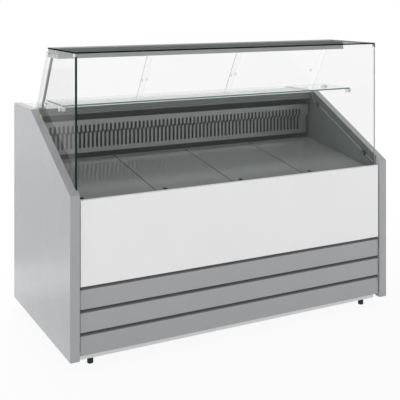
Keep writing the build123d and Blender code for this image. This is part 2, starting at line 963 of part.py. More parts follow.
with BuildPart() as cable_gland:
    with BuildSketch(facing(frame_rear)) as gland_body:
        with Locations((gland_place, gland_level)):
            Circle(gland_radius)
    extrude(amount=-(sheet + gland_length))
    with BuildSketch(facing(frame_rear + sheet)) as gland_nut:
        with Locations((gland_place, gland_level)):
            RegularPolygon(gland_nut_radius, 6)
    extrude(amount=-gland_length / 3)
    with BuildSketch(facing(frame_rear)) as gland_bore:
        with Locations((gland_place, gland_level)):
            Circle(gland_bore_radius)
    extrude(amount=-(sheet + gland_length), mode=Mode.SUBTRACT)
save(cable_gland.part, "cable_gland")

box_top = worktop_bottom - control_box_drop
box_bottom = box_top - control_box_height
box_middle = (box_top + box_bottom) / 2
box_back = tub_rear + sheet
box_face = box_back + control_box_depth
switch_centres = [(x, box_middle) for x in switch_places.values()]
well_width = rocker_width + 2 * rocker_gap
well_height = rocker_height + 2 * rocker_gap
well_depth = rocker_depth + 2 * rocker_gap
pivot_setback = box_face - rocker_pivot_depth
with BuildPart() as control_box:
    box_between((control_box_left, box_back, box_bottom), (control_box_right, box_face, box_top))
    box_between(
        (control_box_left + sheet, box_back, box_bottom + sheet),
        (control_box_right - sheet, box_face - sheet, box_top - sheet),
        mode=Mode.SUBTRACT,
    )
    with BuildSketch(facing(box_face)) as controller_hole:
        with Locations((controller_place, box_middle)):
            Rectangle(controller_body_width, controller_body_height)
    extrude(amount=sheet, mode=Mode.SUBTRACT)
    with BuildSketch(facing(box_face + switch_bezel)) as switch_housings:
        with Locations(*switch_centres):
            Rectangle(well_width + 2 * switch_wall, well_height + 2 * switch_wall)
    extrude(amount=switch_bezel + well_depth + switch_wall)
    with BuildSketch(facing(box_face + switch_bezel)) as switch_wells:
        with Locations(*switch_centres):
            Rectangle(well_width, well_height)
    extrude(amount=switch_bezel + well_depth, mode=Mode.SUBTRACT)
    for x, level in switch_centres:
        with Locations(Location((x, front + pivot_setback, level), (0, 90, 0))):
            Cylinder(
                rocker_pin_radius + shaft_gap,
                well_width + 2 * (rocker_pin_length + rest_gap),
                mode=Mode.SUBTRACT,
            )
save(control_box.part, "control_box")

bezel_face = box_face + controller_bezel
with BuildPart() as controller:
    with BuildSketch(facing(box_face)) as bezel:
        with Locations((controller_place, box_middle)):
            RectangleRounded(controller_width, controller_height, 3)
    extrude(amount=-controller_bezel)
    with BuildSketch(facing(box_face)) as body:
        with Locations((controller_place, box_middle)):
            Rectangle(controller_body_width, controller_body_height)
    extrude(amount=controller_body_depth)
    with BuildSketch(facing(bezel_face)) as wells:
        with Locations(*[(button_place, box_middle + level) for level in button_levels]):
            Rectangle(button_width + 2 * running_gap, button_height + 2 * running_gap)
    extrude(amount=button_well, mode=Mode.SUBTRACT)
    with BuildSketch(facing(bezel_face)) as display:
        with Locations((controller_place - display_width / 4, box_middle)):
            Rectangle(display_width, display_height)
    extrude(amount=display_recess, mode=Mode.SUBTRACT)
save(controller.part, "controller")

button_labels = ("button_up", "button_set", "button_down")
for label, level in zip(button_labels, button_levels):
    with BuildPart() as button:
        with BuildSketch(facing(bezel_face + button_proud)) as cap:
            with Locations((button_place, box_middle + level)):
                RectangleRounded(button_width, button_height, 1.5)
        extrude(amount=button_proud + button_well - button_travel - running_gap)
    save(button.part, label)

for label, x in switch_places.items():
    with BuildPart() as rocker:
        reach = rocker_height / 2
        tip = box_face + switch_bezel + rocker_proud + reach * tan(radians(rocker_dish))
        section(
            (
                (box_face - rocker_depth, box_middle - reach * 0.4),
                (box_face - rocker_depth, box_middle + reach * 0.4),
                (box_face, box_middle + reach),
                (tip, box_middle + reach),
                (box_face + switch_bezel + rocker_proud, box_middle),
                (tip, box_middle - reach),
                (box_face, box_middle - reach),
            ),
            x - rocker_width / 2,
            x + rocker_width / 2,
        )
        with Locations(Location((x, front + pivot_setback, box_middle), (0, 90, 0))):
            Cylinder(rocker_pin_radius, well_width + 2 * rocker_pin_length)
    save(rocker.part, label)

# Lamp canopy, lamp and cable post
canopy_rear_top = canopy_rear - canopy_height * tan(lean)
with BuildPart() as canopy:
    section(
        (
            (canopy_front - canopy_front_slant, canopy_bottom),
            (canopy_rear, canopy_bottom),
            (canopy_rear_top, top_glass_bottom),
            (canopy_front, top_glass_bottom),
        ),
        -side_glass_inner,
        side_glass_inner,
    )
    section(
        (
            (canopy_front - canopy_front_slant + canopy_wall, canopy_bottom + canopy_wall),
            (canopy_rear - 2 * canopy_wall, canopy_bottom + canopy_wall),
            (canopy_rear_top - canopy_wall, top_glass_bottom - canopy_wall),
            (canopy_front + canopy_wall, top_glass_bottom - canopy_wall),
        ),
        -side_glass_inner + canopy_wall,
        side_glass_inner - canopy_wall,
        mode=Mode.SUBTRACT,
    )
    with BuildSketch(Plane.XY.offset(canopy_bottom)) as wiring_entry:
        with Locations((-post_place, post_top)):
            Circle(post_bore)
    extrude(amount=canopy_wall, mode=Mode.SUBTRACT)
    for end in (-side_glass_inner, side_glass_inner - canopy_wall):
        with BuildSketch(Plane.YZ.offset(end)) as bolt_holes:
            with Locations(*bolt_centres):
                Circle(bolt_radius + bolt_gap)
        extrude(amount=canopy_wall, mode=Mode.SUBTRACT)
save(canopy.part, "canopy")

with BuildPart() as lamp:
    with BuildSketch(Plane.YZ.offset(-lamp_half_length)) as lamp_section:
        with Locations((front + lamp_setback, canopy_bottom)):
            Rectangle(lamp_width, lamp_height, align=(Align.CENTER, Align.MAX))
    extrude(amount=2 * lamp_half_length)
    lower_edges = lamp.edges().filter_by(Axis.X).sort_by(Axis.Z)[:2]
    fillet(lower_edges, lamp_height * 0.7)
save(lamp.part, "lamp")

with BuildPart() as glazing_posts:
    across_post = Plane(
        origin=(-post_place, post_base, worktop_top), x_dir=(1, 0, 0), z_dir=(0, -sin(lean), cos(lean))
    )
    with BuildSketch(across_post) as post_section:
        Circle(post_radius)
    extrude(amount=door_rise + 2 * post_radius, both=True)
    split(bisect_by=Plane.XY.offset(worktop_top), keep=Keep.TOP)
    split(bisect_by=Plane.XY.offset(canopy_bottom), keep=Keep.BOTTOM)
    with BuildSketch(Plane.XY.offset(worktop_top)) as post_foot:
        with Locations((-post_place, post_base)):
            SlotOverall(post_foot_length, post_foot_width)
    extrude(amount=post_foot_thickness)
    with BuildSketch(across_post) as post_cable_bore:
        Circle(post_bore)
    extrude(amount=door_rise + 2 * post_radius, both=True, mode=Mode.SUBTRACT)
save(glazing_posts.part, "glazing_posts")

# Glazing
rear_edge = canopy_rear - side_glass_setback / cos(lean)
rear_edge_low = rear_edge + (canopy_bottom - worktop_top) * tan(lean)
rear_edge_top = rear_edge - canopy_height * tan(lean)
side_front = front_glass_setback + glass
notch_front = worktop_front - profile_base - profile_rib - rest_gap
side_outline = (
    (side_front, slope_level(side_front) - side_glass_overlap),
    (notch_front, slope_level(notch_front) - side_glass_overlap),
    (notch_front, worktop_top + rest_gap),
    (rear_edge_low, worktop_top + rest_gap),
    (rear_edge_top, top_glass_bottom),
    (side_front, top_glass_bottom),
)
with BuildPart() as side_glass_right:
    section(side_outline, side_glass_inner, side_glass_outer)
    with BuildSketch(Plane.YZ.offset(side_glass_inner)) as glass_holes:
        with Locations(*bolt_centres):
            Circle(bolt_radius + bolt_gap)
        with Locations(*clamp_centres):
            Circle(clamp_bolt_radius + bolt_gap)
    extrude(amount=glass, mode=Mode.SUBTRACT)
save(side_glass_right.part, "side_glass_right")

with BuildPart() as side_glass_left:
    mirror(side_glass_right.part, about=Plane.YZ)
save(side_glass_left.part, "side_glass_left")

with BuildPart() as front_glass:
    box_between(
        (-side_glass_outer, front_glass_setback, groove_floor),
        (side_glass_outer, front_glass_setback + glass, top_glass_bottom),
    )
save(front_glass.part, "front_glass")

with BuildPart() as top_glass:
    box_between(
        (-side_glass_outer, front_glass_setback, top_glass_bottom),
        (side_glass_outer, top_glass_rear, height),
    )
save(top_glass.part, "top_glass")

with BuildPart() as glass_brackets:
    for hand in (-1, 1):
        for y in clip_places:
            clip_plane = Plane(
                origin=(hand * half, front + y, slope_level(y) - side_glass_overlap),
                x_dir=(0, cos(slope), sin(slope)),
                z_dir=(-hand, 0, 0),
            )
            up = clip_plane.y_dir.Z
            with BuildSketch(clip_plane) as clip_floor_section:
                with Locations((0, -up / abs(up) * clip_floor / 2)):
                    Rectangle(clip_length, clip_floor)
            extrude(amount=half - side_glass_inner + clip_inner)
            with BuildSketch(clip_plane.offset(half - side_glass_inner)) as clip_lip_section:
                with Locations((0, up / abs(up) * clip_lip / 2)):
                    Rectangle(clip_length, clip_lip)
            extrude(amount=clip_inner)
        corner = hand * side_glass_outer
        corner_rear = front_glass_setback + corner_reach
        corner_low = top_glass_bottom - corner_drop
        section(
            (
                (front_glass_setback, top_glass_bottom),
                (front_glass_setback, corner_low),
                (corner_rear - corner_edge, corner_low),
                (corner_rear, corner_low + corner_edge),
                (corner_rear, top_glass_bottom),
            ),
            min(corner, corner + hand * corner_plate),
            max(corner, corner + hand * corner_plate),
        )
        with BuildSketch(Plane.YZ.offset(hand * side_glass_outer)) as bolt_heads:
            with Locations(*bolt_centres):
                Circle(bolt_head_radius)
        extrude(amount=hand * bolt_head)
        with BuildSketch(Plane.YZ.offset(hand * side_glass_outer)) as bolt_shanks:
            with Locations(*bolt_centres):
                Circle(bolt_radius)
        extrude(amount=-hand * (glass + canopy_wall + nut_height))
        with BuildSketch(Plane.YZ.offset(hand * (side_glass_inner - canopy_wall))) as nuts:
            with Locations(*bolt_centres):
                RegularPolygon(nut_radius, 6)
        extrude(amount=-hand * nut_height)
save(glass_brackets.part, "glass_brackets")

# Glass shelf and its clamps
with BuildPart() as glass_shelf:
    box_between(
        (-shelf_half_length, shelf_front, shelf_bottom),
        (shelf_half_length, shelf_front + shelf_depth, shelf_top),
    )
save(glass_shelf.part, "glass_shelf")

with BuildPart() as shelf_clamps:
    for hand in (-1, 1):
        for y in clamp_places:
            with BuildSketch(facing(y - clamp_width / 2)) as jaw:
                with BuildLine():
                    Polyline(
                        (hand * side_glass_inner, shelf_bottom - clamp_drop),
                        (hand * side_glass_inner, shelf_top),
                        (hand * shelf_half_length, shelf_top),
                        (hand * shelf_half_length, shelf_bottom),
                        (hand * (side_glass_inner - clamp_reach), shelf_bottom),
                        (hand * (side_glass_inner - clamp_reach), shelf_bottom - clamp_drop),
                        close=True,
                    )
                make_face()
                fillet(jaw.vertices().group_by(Axis.Y)[0], clamp_corner)
            extrude(amount=-clamp_width)
            with BuildSketch(facing(y - clamp_width / 2)) as screw_recess:
                with Locations((hand * (side_glass_inner - clamp_reach / 2), shelf_bottom - clamp_drop / 2)):
                    Circle(clamp_screw_radius)
            extrude(amount=-clamp_screw_recess, mode=Mode.SUBTRACT)
        outer_face = Plane.YZ.offset(hand * side_glass_outer)
        with BuildSketch(outer_face) as caps:
            with Locations(*clamp_centres):
                Circle(clamp_cap_radius)
        extrude(amount=hand * clamp_cap)
        with BuildSketch(outer_face) as clamp_bolts:
            with Locations(*clamp_centres):
                Circle(clamp_bolt_radius)
        extrude(amount=-hand * glass)
save(shelf_clamps.part, "shelf_clamps")

# Rear sliding doors, in a plane that leans with the back of the glazing.
# Its first axis points out of the doors and its second runs up them.
door_plane = Plane(
    origin=(0, door_base, worktop_top),
    x_dir=(0, cos(lean), sin(lean)),
    z_dir=(1, 0, 0),
)
groove_width = door_thickness + 2 * running_gap
door_middles = [track_wall + door_thickness / 2 + number * door_pitch for number in range(door_count)]
half_span = door_span / 2

with BuildPart() as lower_door_track:
    with BuildSketch(door_plane.offset(-half_span)) as lower_section:
        with BuildLine():
            Polyline(
                (0, 0),
                (track_depth, -track_depth * tan(lean)),
                (track_depth, track_height),
                (0, track_height),
                close=True,
            )
        make_face()
        with Locations(*[(p, track_height) for p in door_middles]):
            Rectangle(groove_width, 2 * track_groove_depth, mode=Mode.SUBTRACT)
    extrude(amount=door_span)
save(lower_door_track.part, "lower_door_track")

upper_track_low = door_rise - 2
with BuildPart() as upper_door_track:
    with BuildSketch(door_plane.offset(-half_span)) as upper_section:
        with Locations((track_depth / 2, upper_track_low + upper_track_height / 2)):
            Rectangle(track_depth, upper_track_height)
        with Locations(*[(p, upper_track_low) for p in door_middles]):
            Rectangle(groove_width, 2 * upper_groove_depth, mode=Mode.SUBTRACT)
    extrude(amount=door_span)
save(upper_door_track.part, "upper_door_track")

door_width = (door_span + (door_count - 1) * door_overlap) / door_count
door_low = track_height - track_groove_depth + running_gap
door_high = upper_track_low + door_engagement
door_labels = ("door_left", "door_middle", "door_right")
for number, label in enumerate(door_labels):
    left = -half_span + number * (door_width - door_overlap)
    inner_face = Plane(
        origin=(left, 0, 0) + door_plane.from_local_coords((door_middles[number] - door_thickness / 2, 0, 0)),
        x_dir=(1, 0, 0),
        z_dir=(0, cos(lean), sin(lean)),
    )
    grips = ((grip_inset, -grip_height), (door_width - grip_inset, -grip_height))
    with BuildPart() as door:
        with BuildSketch(inner_face) as pane:
            with Locations((door_width / 2, -(door_low + door_high) / 2)):
                Rectangle(door_width, door_high - door_low)
            with Locations(*grips):
                Circle(grip_hole_radius + running_gap, mode=Mode.SUBTRACT)
        extrude(amount=door_thickness)
    save(door.part, label)
    with BuildPart() as grip_cups:
        with BuildSketch(inner_face.offset(-grip_flange)) as sleeve:
            with Locations(*grips):
                Circle(grip_hole_radius)
        extrude(amount=door_thickness + 2 * grip_flange)
        for place in (-grip_flange, door_thickness):
            with BuildSketch(inner_face.offset(place)) as flange:
                with Locations(*grips):
                    Circle(grip_radius)
            extrude(amount=grip_flange)
        with BuildSketch(inner_face.offset(door_thickness + grip_flange)) as finger_cup:
            with Locations(*grips):
                Circle(grip_cup_radius)
        extrude(amount=-grip_cup_depth, mode=Mode.SUBTRACT)
    save(grip_cups.part, f"{label}_grips")
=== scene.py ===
from math import cos, pi, radians, sin

import bmesh
import bpy
from bpy.props import FloatProperty, FloatVectorProperty, IntProperty, PointerProperty
from mathutils import Matrix, Vector


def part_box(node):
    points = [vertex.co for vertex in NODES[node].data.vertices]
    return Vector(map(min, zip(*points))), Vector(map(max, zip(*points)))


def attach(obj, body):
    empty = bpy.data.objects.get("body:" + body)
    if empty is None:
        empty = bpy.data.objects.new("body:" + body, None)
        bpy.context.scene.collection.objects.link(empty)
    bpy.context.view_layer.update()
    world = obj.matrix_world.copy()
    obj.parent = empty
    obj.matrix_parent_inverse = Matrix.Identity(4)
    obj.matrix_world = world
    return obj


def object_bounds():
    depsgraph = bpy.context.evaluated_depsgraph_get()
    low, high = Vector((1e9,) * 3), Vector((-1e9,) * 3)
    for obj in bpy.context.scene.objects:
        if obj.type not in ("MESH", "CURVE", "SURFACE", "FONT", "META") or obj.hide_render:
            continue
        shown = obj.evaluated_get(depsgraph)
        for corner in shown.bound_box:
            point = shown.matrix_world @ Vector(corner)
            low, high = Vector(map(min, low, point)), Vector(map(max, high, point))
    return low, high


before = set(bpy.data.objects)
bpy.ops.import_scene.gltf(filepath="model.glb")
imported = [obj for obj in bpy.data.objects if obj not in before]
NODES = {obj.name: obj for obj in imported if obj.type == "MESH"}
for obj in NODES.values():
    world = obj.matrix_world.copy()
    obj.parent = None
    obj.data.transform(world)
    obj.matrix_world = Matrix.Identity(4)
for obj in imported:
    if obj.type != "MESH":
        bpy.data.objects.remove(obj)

# Looks of a refrigerated serve-over display case: finishes for every CAD piece,
# small fittings that the solids leave out, and a plain white studio.
# Everything is in metres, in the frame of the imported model.

bl_info = {
    "name": "Refrigerated display case",
    "version": (1, 0, 0),
    "blender": (4, 5, 0),
    "location": "3D View > Sidebar > Display case",
    "description": "Finishes, fittings and studio for a serve-over refrigerated display case",
    "category": "Object",
}

CAD_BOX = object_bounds()
PHOTO_SIDE = 400
SENSOR = 36
WHITE = (1, 1, 1, 1)
X = (1, 0, 0)
Y = (0, 1, 0)
Z = (0, 0, 1)
SIDES = {"left": (-1, 0, 0), "right": X, "front": (0, -1, 0), "back": Y}
DOORS = ("door_left", "door_middle", "door_right")

# The case's front, the slats' top flange, the back of the end panels' lip, and their slope
FRONT = CAD_BOX[0][1]
FLANGE_FRONT = FRONT + 0.005
FLANGE_BACK = FRONT + 0.028
LIP_BACK = FRONT + 0.029
SLOPE_FOOT = 0.686
SLOPE_RISE = 0.274 / 0.540

# The dark rim of the front glass's left edge, and its head's distance from the canopy's top
RIM_WIDTH = 0.0075
RIM_DROP = 0.0125

# Brush lines of sheet steel, in waves a metre for each axis
BRUSHED_X = (2.5, 700, 700)
FINE_BRUSHED_X = (2.5, 900, 900)
FINE_BRUSHED_Y = (900, 2.5, 900)
BRUSHED_Z = (800, 800, 3)
SPANGLE = (60, 60, 60)

# Screws of the rear sheets, as shares of a sheet's length and height, and of the control box
SCREW_COLUMNS = (0.015, 0.25, 0.5, 0.75, 0.985)
SCREW_ROWS = {"rear_panel": (0.03, 0.97), "service_grille": (0.04, 0.96)}
SCREW_INSET = 0.012

# Glass clips: places behind the front, their screws' depth below the slope, reach, and highest level
CLIP_DEPTHS = (0.116, 0.498)
CLIP_DROP = 0.0395
CLIP_REACH = 0.0065
CLIP_LEVEL = 1.0

# The wedge's distance from glass and slope, its rounding, and the share of its height in the middle
WEDGE_GAP = 0.0005
WEDGE_LIFT = 0.0002
WEDGE_EDGE = 0.0008
WEDGE_MIDDLE = 0.75

# Fan guards: the smallest ring, the reach past a wheel, and the cowl between guard and condenser
GUARD_HOLE = 0.034
GUARD_OVERLAP = 0.012
COWL_DEPTH = 0.06

# Ends of a coil without thin fins, and how much smaller a thin fin is
FIN_MARGIN = 0.012
FIN_TRIM = 0.001

# Slots of the service grille, and the hoods over them
SLOT_COLUMNS = (-0.47, 0, 0.47)
SLOT_ROWS = range(-4, 5)
SLOT_PITCH = 0.028
SLOT_RISE = 0.02
HOOD_LENGTH = 0.404
HOOD_DROP = 0.0055
HOOD_THICKNESS = 0.0012

# Seals beside the front glass, and caps of the lamp
SEAL_RISE = 0.016
SEAL_INSET = 0.006
CAP_LENGTH = 0.009
CAP_WALL = 0.001
CAP_EDGE = 0.003

# The display window: half its size, its shift from the middle, how deep it sits, and its rounding
WINDOW_HALF = (0.0185, 0.0095)
WINDOW_SHIFT = 0.0095
WINDOW_BACK = 0.0012
WINDOW_FACE = 0.0002
WINDOW_EDGE = 0.0003

# Where the soft boxes stand, what they point at and how large they are
SOFT_BOXES = {
    "side": {"place": (-4.8, 0.3, 1.3), "aim": (-0.7, 0.1, 0.6), "size": (3.4, 2.4)},
    "front": {"place": (0.9, -5.2, 1.3), "aim": (0.1, -0.4, 0.6), "size": (4.5, 2.4)},
    "back": {"place": (0.4, 3.2, 3.4), "aim": (0.1, 0.3, 0.95), "size": (2.4, 2.0)},
}

# The floor: where its shadow fades out, and what mirrors show of it left of the case, which is
# a white streak along X on a dim floor that gets paler far behind
SHADOW_FADE = (1.2, 2.6)
LEFT_OF_CASE = (-1.0, -0.7)
STREAK_PLACE = 0.72
STREAK_EDGE = (0.12, 0.38)
DIM_FLOOR = 0.5
FAR_FLOOR = (3.0, 4.4)
FAR_SHARE = 0.44


def linear(code):
    """A colour written as six hex digits, as the linear values that shaders use."""
    shares = [int(code[i:i + 2], 16) / 255 for i in (0, 2, 4)]
    return tuple(s / 12.92 if s <= 0.04045 else ((s + 0.055) / 1.055) ** 2.4 for s in shares)


def colour(name, description, code):
    """A colour property."""
    return FloatVectorProperty(
        name=name, description=description, default=linear(code), subtype="COLOR", size=3, min=0, max=1
    )


def amount(name, description, default, **limits):
    """A number property."""
    return FloatProperty(name=name, description=description, default=default, **limits)


def length(name, description, default):
    """A length property."""
    return amount(name, description, default, min=0, unit="LENGTH", precision=4)


def count(name, description, default, least):
    """A whole number property."""
    return IntProperty(name=name, description=description, default=default, min=least, subtype="UNSIGNED")


# Settings that a user would change

class CaseColours(bpy.types.PropertyGroup):
    """Colours of the finishes."""

    paint: colour("Grey paint", "Powder coat of the end panels and slats", "a3a4a6")
    # Panel caps: a paler copy of the grey paint, painted light on faces that look straight up and on the
    # lip's reveals; the end panels have no separate cap
    cap: colour("Panel caps", "Paler flat tops and lips of the end panels", "b7b8ba")
    # Inner walls: a darker copy of the grey paint, painted shade on the end panels' inner faces
    inner_wall: colour("Inner walls", "Inner sides of the end panels", "6e7372")
    white: colour("White panel", "Satin sheet", "eeeeee")
    plinth: colour("Plinth", "Light strip under the slats", "e8e9ea")
    frame_paint: colour("Frame", "Powder coat", "3b3d40")
    rear_paint: colour("Rear sheets", "Rear panel and service grille", "b4b5b7")
    deck: colour("Deck trays", "Brushed steel", "bfc3c2")
    grille: colour("Air grille", "Brushed steel", "858988")
    lining: colour("Lining", "Sheet lining of the cold well", "444948")
    worktop: colour("Worktop", "Satin steel", "eceded")
    profile: colour("Ribbed profile", "Anodised strip along the worktop's front edge", "6e7372")
    canopy: colour("Lamp canopy", "Matt paint", "a8acab")
    post: colour("Post", "Anodised aluminium", "86898a")
    track: colour("Door tracks", "Clear plastic", "e8eae9")
    # Dark edge tone: partly the glass's own green, partly painted shade on shaded sides
    glass_edge: colour("Glass edge", "Cut edges of the glass", "22362f")
    shelf_edge: colour("Shelf edge", "Cut edges of the glass shelf", "5f8379")
    chrome: colour("Bright metal", "Nickel-plated connectors, screws and fan guards", "d9dbda")
    clamp: colour("Shelf clamps", "Clear plastic", "f4f6f5")
    # The shelf clamps also take this tone where they cross the side glass's thickness
    clip: colour("Glass clips", "Dull plating of glass clips and clamp bolts", "4c504f")
    brass: colour("Passivated metal", "Wedge beside the left glass", "bdbc98")
    copper: colour("Copper", "Refrigerant pipes", "b06a45")
    aluminium: colour("Aluminium", "Coils, their fins, the cowl and the unit tray", "b5b8b9")
    enamel: colour("Enamel", "Black enamel of compressor and motors", "1d1e20")
    plastic: colour("Dark plastic", "Control box, controller, gland and fans", "232426")
    keys: colour("Keys", "Controller keys", "3a3c3f")
    rubber: colour("Rubber", "Feet, seals and rockers", "161617")


class CaseFittings(bpy.types.PropertyGroup):
    """Sizes of the small fittings."""

    screw_radius: length("Screw head", "Radius of the small pan heads", 0.0035)
    screw_height: length("Screw height", "Height of the small pan heads", 0.0022)
    wedge_place: length("Wedge", "Distance of the glass wedge from the case's front", 0.484)
    wedge_length: length("Wedge length", "Length of the glass wedge along the slope", 0.026)
    wedge_width: length("Wedge width", "Width of the glass wedge", 0.006)
    wedge_height: length("Wedge height", "Height of the glass wedge at its thick end", 0.005)
    guard_wire: length("Guard wire", "Radius of the fan guards' wire", 0.0011)
    guard_rings: count("Guard rings", "Rings of a fan guard", 6, 2)
    guard_spokes: count("Guard spokes", "Spokes of a fan guard", 4, 2)
    fin_pitch: length("Fin pitch", "Distance between the thin fins of a coil", 0.0048)
    fin_thickness: length("Fin thickness", "Thickness of a thin fin", 0.0004)
    hood_height: length("Louvre hood", "Reach of a pressed louvre hood", 0.007)
    seal_width: length("Seal", "Width of the seals beside the glass", 0.0035)


class CaseStage(bpy.types.PropertyGroup):
    """Camera, light and floor."""

    camera_place: FloatVectorProperty(
        name="Camera", description="Where the camera stands", default=(-1.8303, -3.467, 1.4554),
        subtype="TRANSLATION", unit="LENGTH"
    )
    camera_yaw: amount("Yaw", "Turn of the camera to the right", radians(27.79), subtype="ANGLE")
    focal_pixels: amount("Focal length", "Focal length in pixels", 826.03, subtype="PIXEL")
    horizon_row: amount("Horizon", "Row of the horizon, counted down from the top", -1.91, subtype="PIXEL")
    ambient: amount("Ambient", "Strength of the even light", 0.5, min=0, subtype="FACTOR")
    side_power: amount("Side box", "Power of the soft box on the left", 118, min=0, unit="POWER")
    front_power: amount("Front box", "Power of the soft box in front", 82, min=0, unit="POWER")
    back_power: amount("Back box", "Power of the soft box above and behind", 118, min=0, unit="POWER")
    clear_faces: count("Clear faces", "Faces of glass that a ray may pass one behind the other", 24, 8)
    floor_radius: length("Floor", "Radius of the floor", 14.0)
    floor_colour: colour("Floor", "Colour of the floor", "f0f0f0")
    shadow_share: amount("Shadow", "Share of the floor's own shading", 0.08, min=0, max=1, subtype="FACTOR")


# Node graphs written as expressions

def maths(operation, flipped=False):
    """A method that adds a Math node on the socket and other values."""
    def method(self, *others):
        values = (*others, self) if flipped else (self, *others)
        return self.graph.node("ShaderNodeMath", dict(enumerate(values)), operation=operation)
    return method


class Socket:
    """An output socket that takes part in arithmetic: each operation adds a Math node."""

    def __init__(self, graph, socket):
        self.graph = graph
        self.socket = socket

    __add__ = __radd__ = maths("ADD")
    __sub__ = maths("SUBTRACT")
    __rsub__ = maths("SUBTRACT", flipped=True)
    __mul__ = __rmul__ = maths("MULTIPLY")
    __truediv__ = maths("DIVIDE")
    __pow__ = maths("POWER")
    __abs__ = maths("ABSOLUTE")
    larger = maths("MAXIMUM")
    whole = maths("ROUND")
    over = maths("GREATER_THAN")

    def eased(self, low, high):
        """0 below low, 1 above high, with a smooth step between."""
        values = {"Value": self, "From Min": low, "From Max": high}
        return self.graph.node("ShaderNodeMapRange", values, interpolation_type="SMOOTHSTEP")


def pick(sockets, key):
    """A socket by its number, identifier or name."""
    if isinstance(key, int):
        return sockets[key]
    for socket in sockets:
        if key in (socket.identifier, socket.name):
            return socket
    raise KeyError(f"no socket {key!r}")


class Graph:
    """A node tree that starts empty."""

    def __init__(self, tree):
        self.tree = tree
        tree.nodes.clear()

    def node(self, kind, sockets=None, output=0, **settings):
        """Adds a node, sets its settings first and its sockets next, and returns one output."""
        node = self.tree.nodes.new(kind)
        for key, value in settings.items():
            setattr(node, key, value)
        for key, value in (sockets or {}).items():
            for source in value if isinstance(value, list) else [value]:
                self.feed(pick(node.inputs, key), source)
        return Socket(self, pick(node.outputs, output)) if node.outputs else None

    def feed(self, socket, value):
        """Gives a socket a link or a constant."""
        if isinstance(value, Socket):
            self.tree.links.new(value.socket, socket)
        else:
            socket.default_value = value

    def mix(self, first, second, factor):
        """A colour between two colours."""
        first, second = (tone if isinstance(tone, Socket) else (*tone, 1) for tone in (first, second))
        sockets = {"Factor_Float": factor, "A_Color": first, "B_Color": second}
        return self.node("ShaderNodeMix", sockets, "Result_Color", data_type="RGBA")

    def shade(self, tone, factor):
        """A colour made lighter or darker by a factor."""
        return self.node("ShaderNodeVectorMath", {"Vector": tone, "Scale": factor}, operation="SCALE")

    def along(self, vector, axis):
        """How far a vector goes along an axis."""
        return self.node("ShaderNodeVectorMath", {0: vector, 1: axis}, "Value", operation="DOT_PRODUCT")

    def vector(self, **parts):
        """A vector from its parts."""
        return self.node("ShaderNodeCombineXYZ", parts)


class Finish(Graph):
    """A material on one Principled shader."""

    def __init__(self, name, **constants):
        self.material = bpy.data.materials.new(name)
        self.material.use_nodes = True
        super().__init__(self.material.node_tree)
        self.shader = self.tree.nodes.new("ShaderNodeBsdfPrincipled")
        output = self.tree.nodes.new("ShaderNodeOutputMaterial")
        self.tree.links.new(self.shader.outputs[0], output.inputs["Surface"])
        for key, value in constants.items():
            self.set(key.replace("_", " "), value)

    def set(self, name, value):
        """Sets a socket of the shader to a constant or a link."""
        self.feed(next(s for s in self.shader.inputs if s.name.lower() == name.lower()), value)

    def surface(self, tone, roughness, normal):
        """Sets the three sockets that most finishes vary, and gives the material."""
        self.set("Base Color", tone)
        self.set("Roughness", roughness)
        self.set("Normal", normal)
        return self.material

    @property
    def place(self):
        """The point on the piece."""
        return self.node("ShaderNodeTexCoord", output="Object")

    @property
    def normal(self):
        """The flat normal of the face, away from the solid whichever side it is seen from."""
        behind = self.node("ShaderNodeNewGeometry", output="Backfacing")
        return self.shade(self.node("ShaderNodeNewGeometry", output="True Normal"), 1 - behind * 2)

    def noise(self, scale, detail=2, stretch=(1, 1, 1)):
        """Noise from 0 to 1, with a scale in waves a metre and a stretch for each axis."""
        place = self.node("ShaderNodeVectorMath", {0: self.place, 1: stretch}, operation="MULTIPLY")
        return self.node("ShaderNodeTexNoise", {"Vector": place, "Scale": scale, "Detail": detail})

    def bump(self, height, strength, distance):
        """A normal that follows a height."""
        return self.node("ShaderNodeBump", {"Height": height, "Strength": strength, "Distance": distance})

    def edge(self, radius):
        """0 on flat faces, growing towards edges within about the radius."""
        rounded = self.node("ShaderNodeBevel", {"Radius": radius}, samples=4)
        return 1 - self.along(rounded, self.normal)


# Finishes

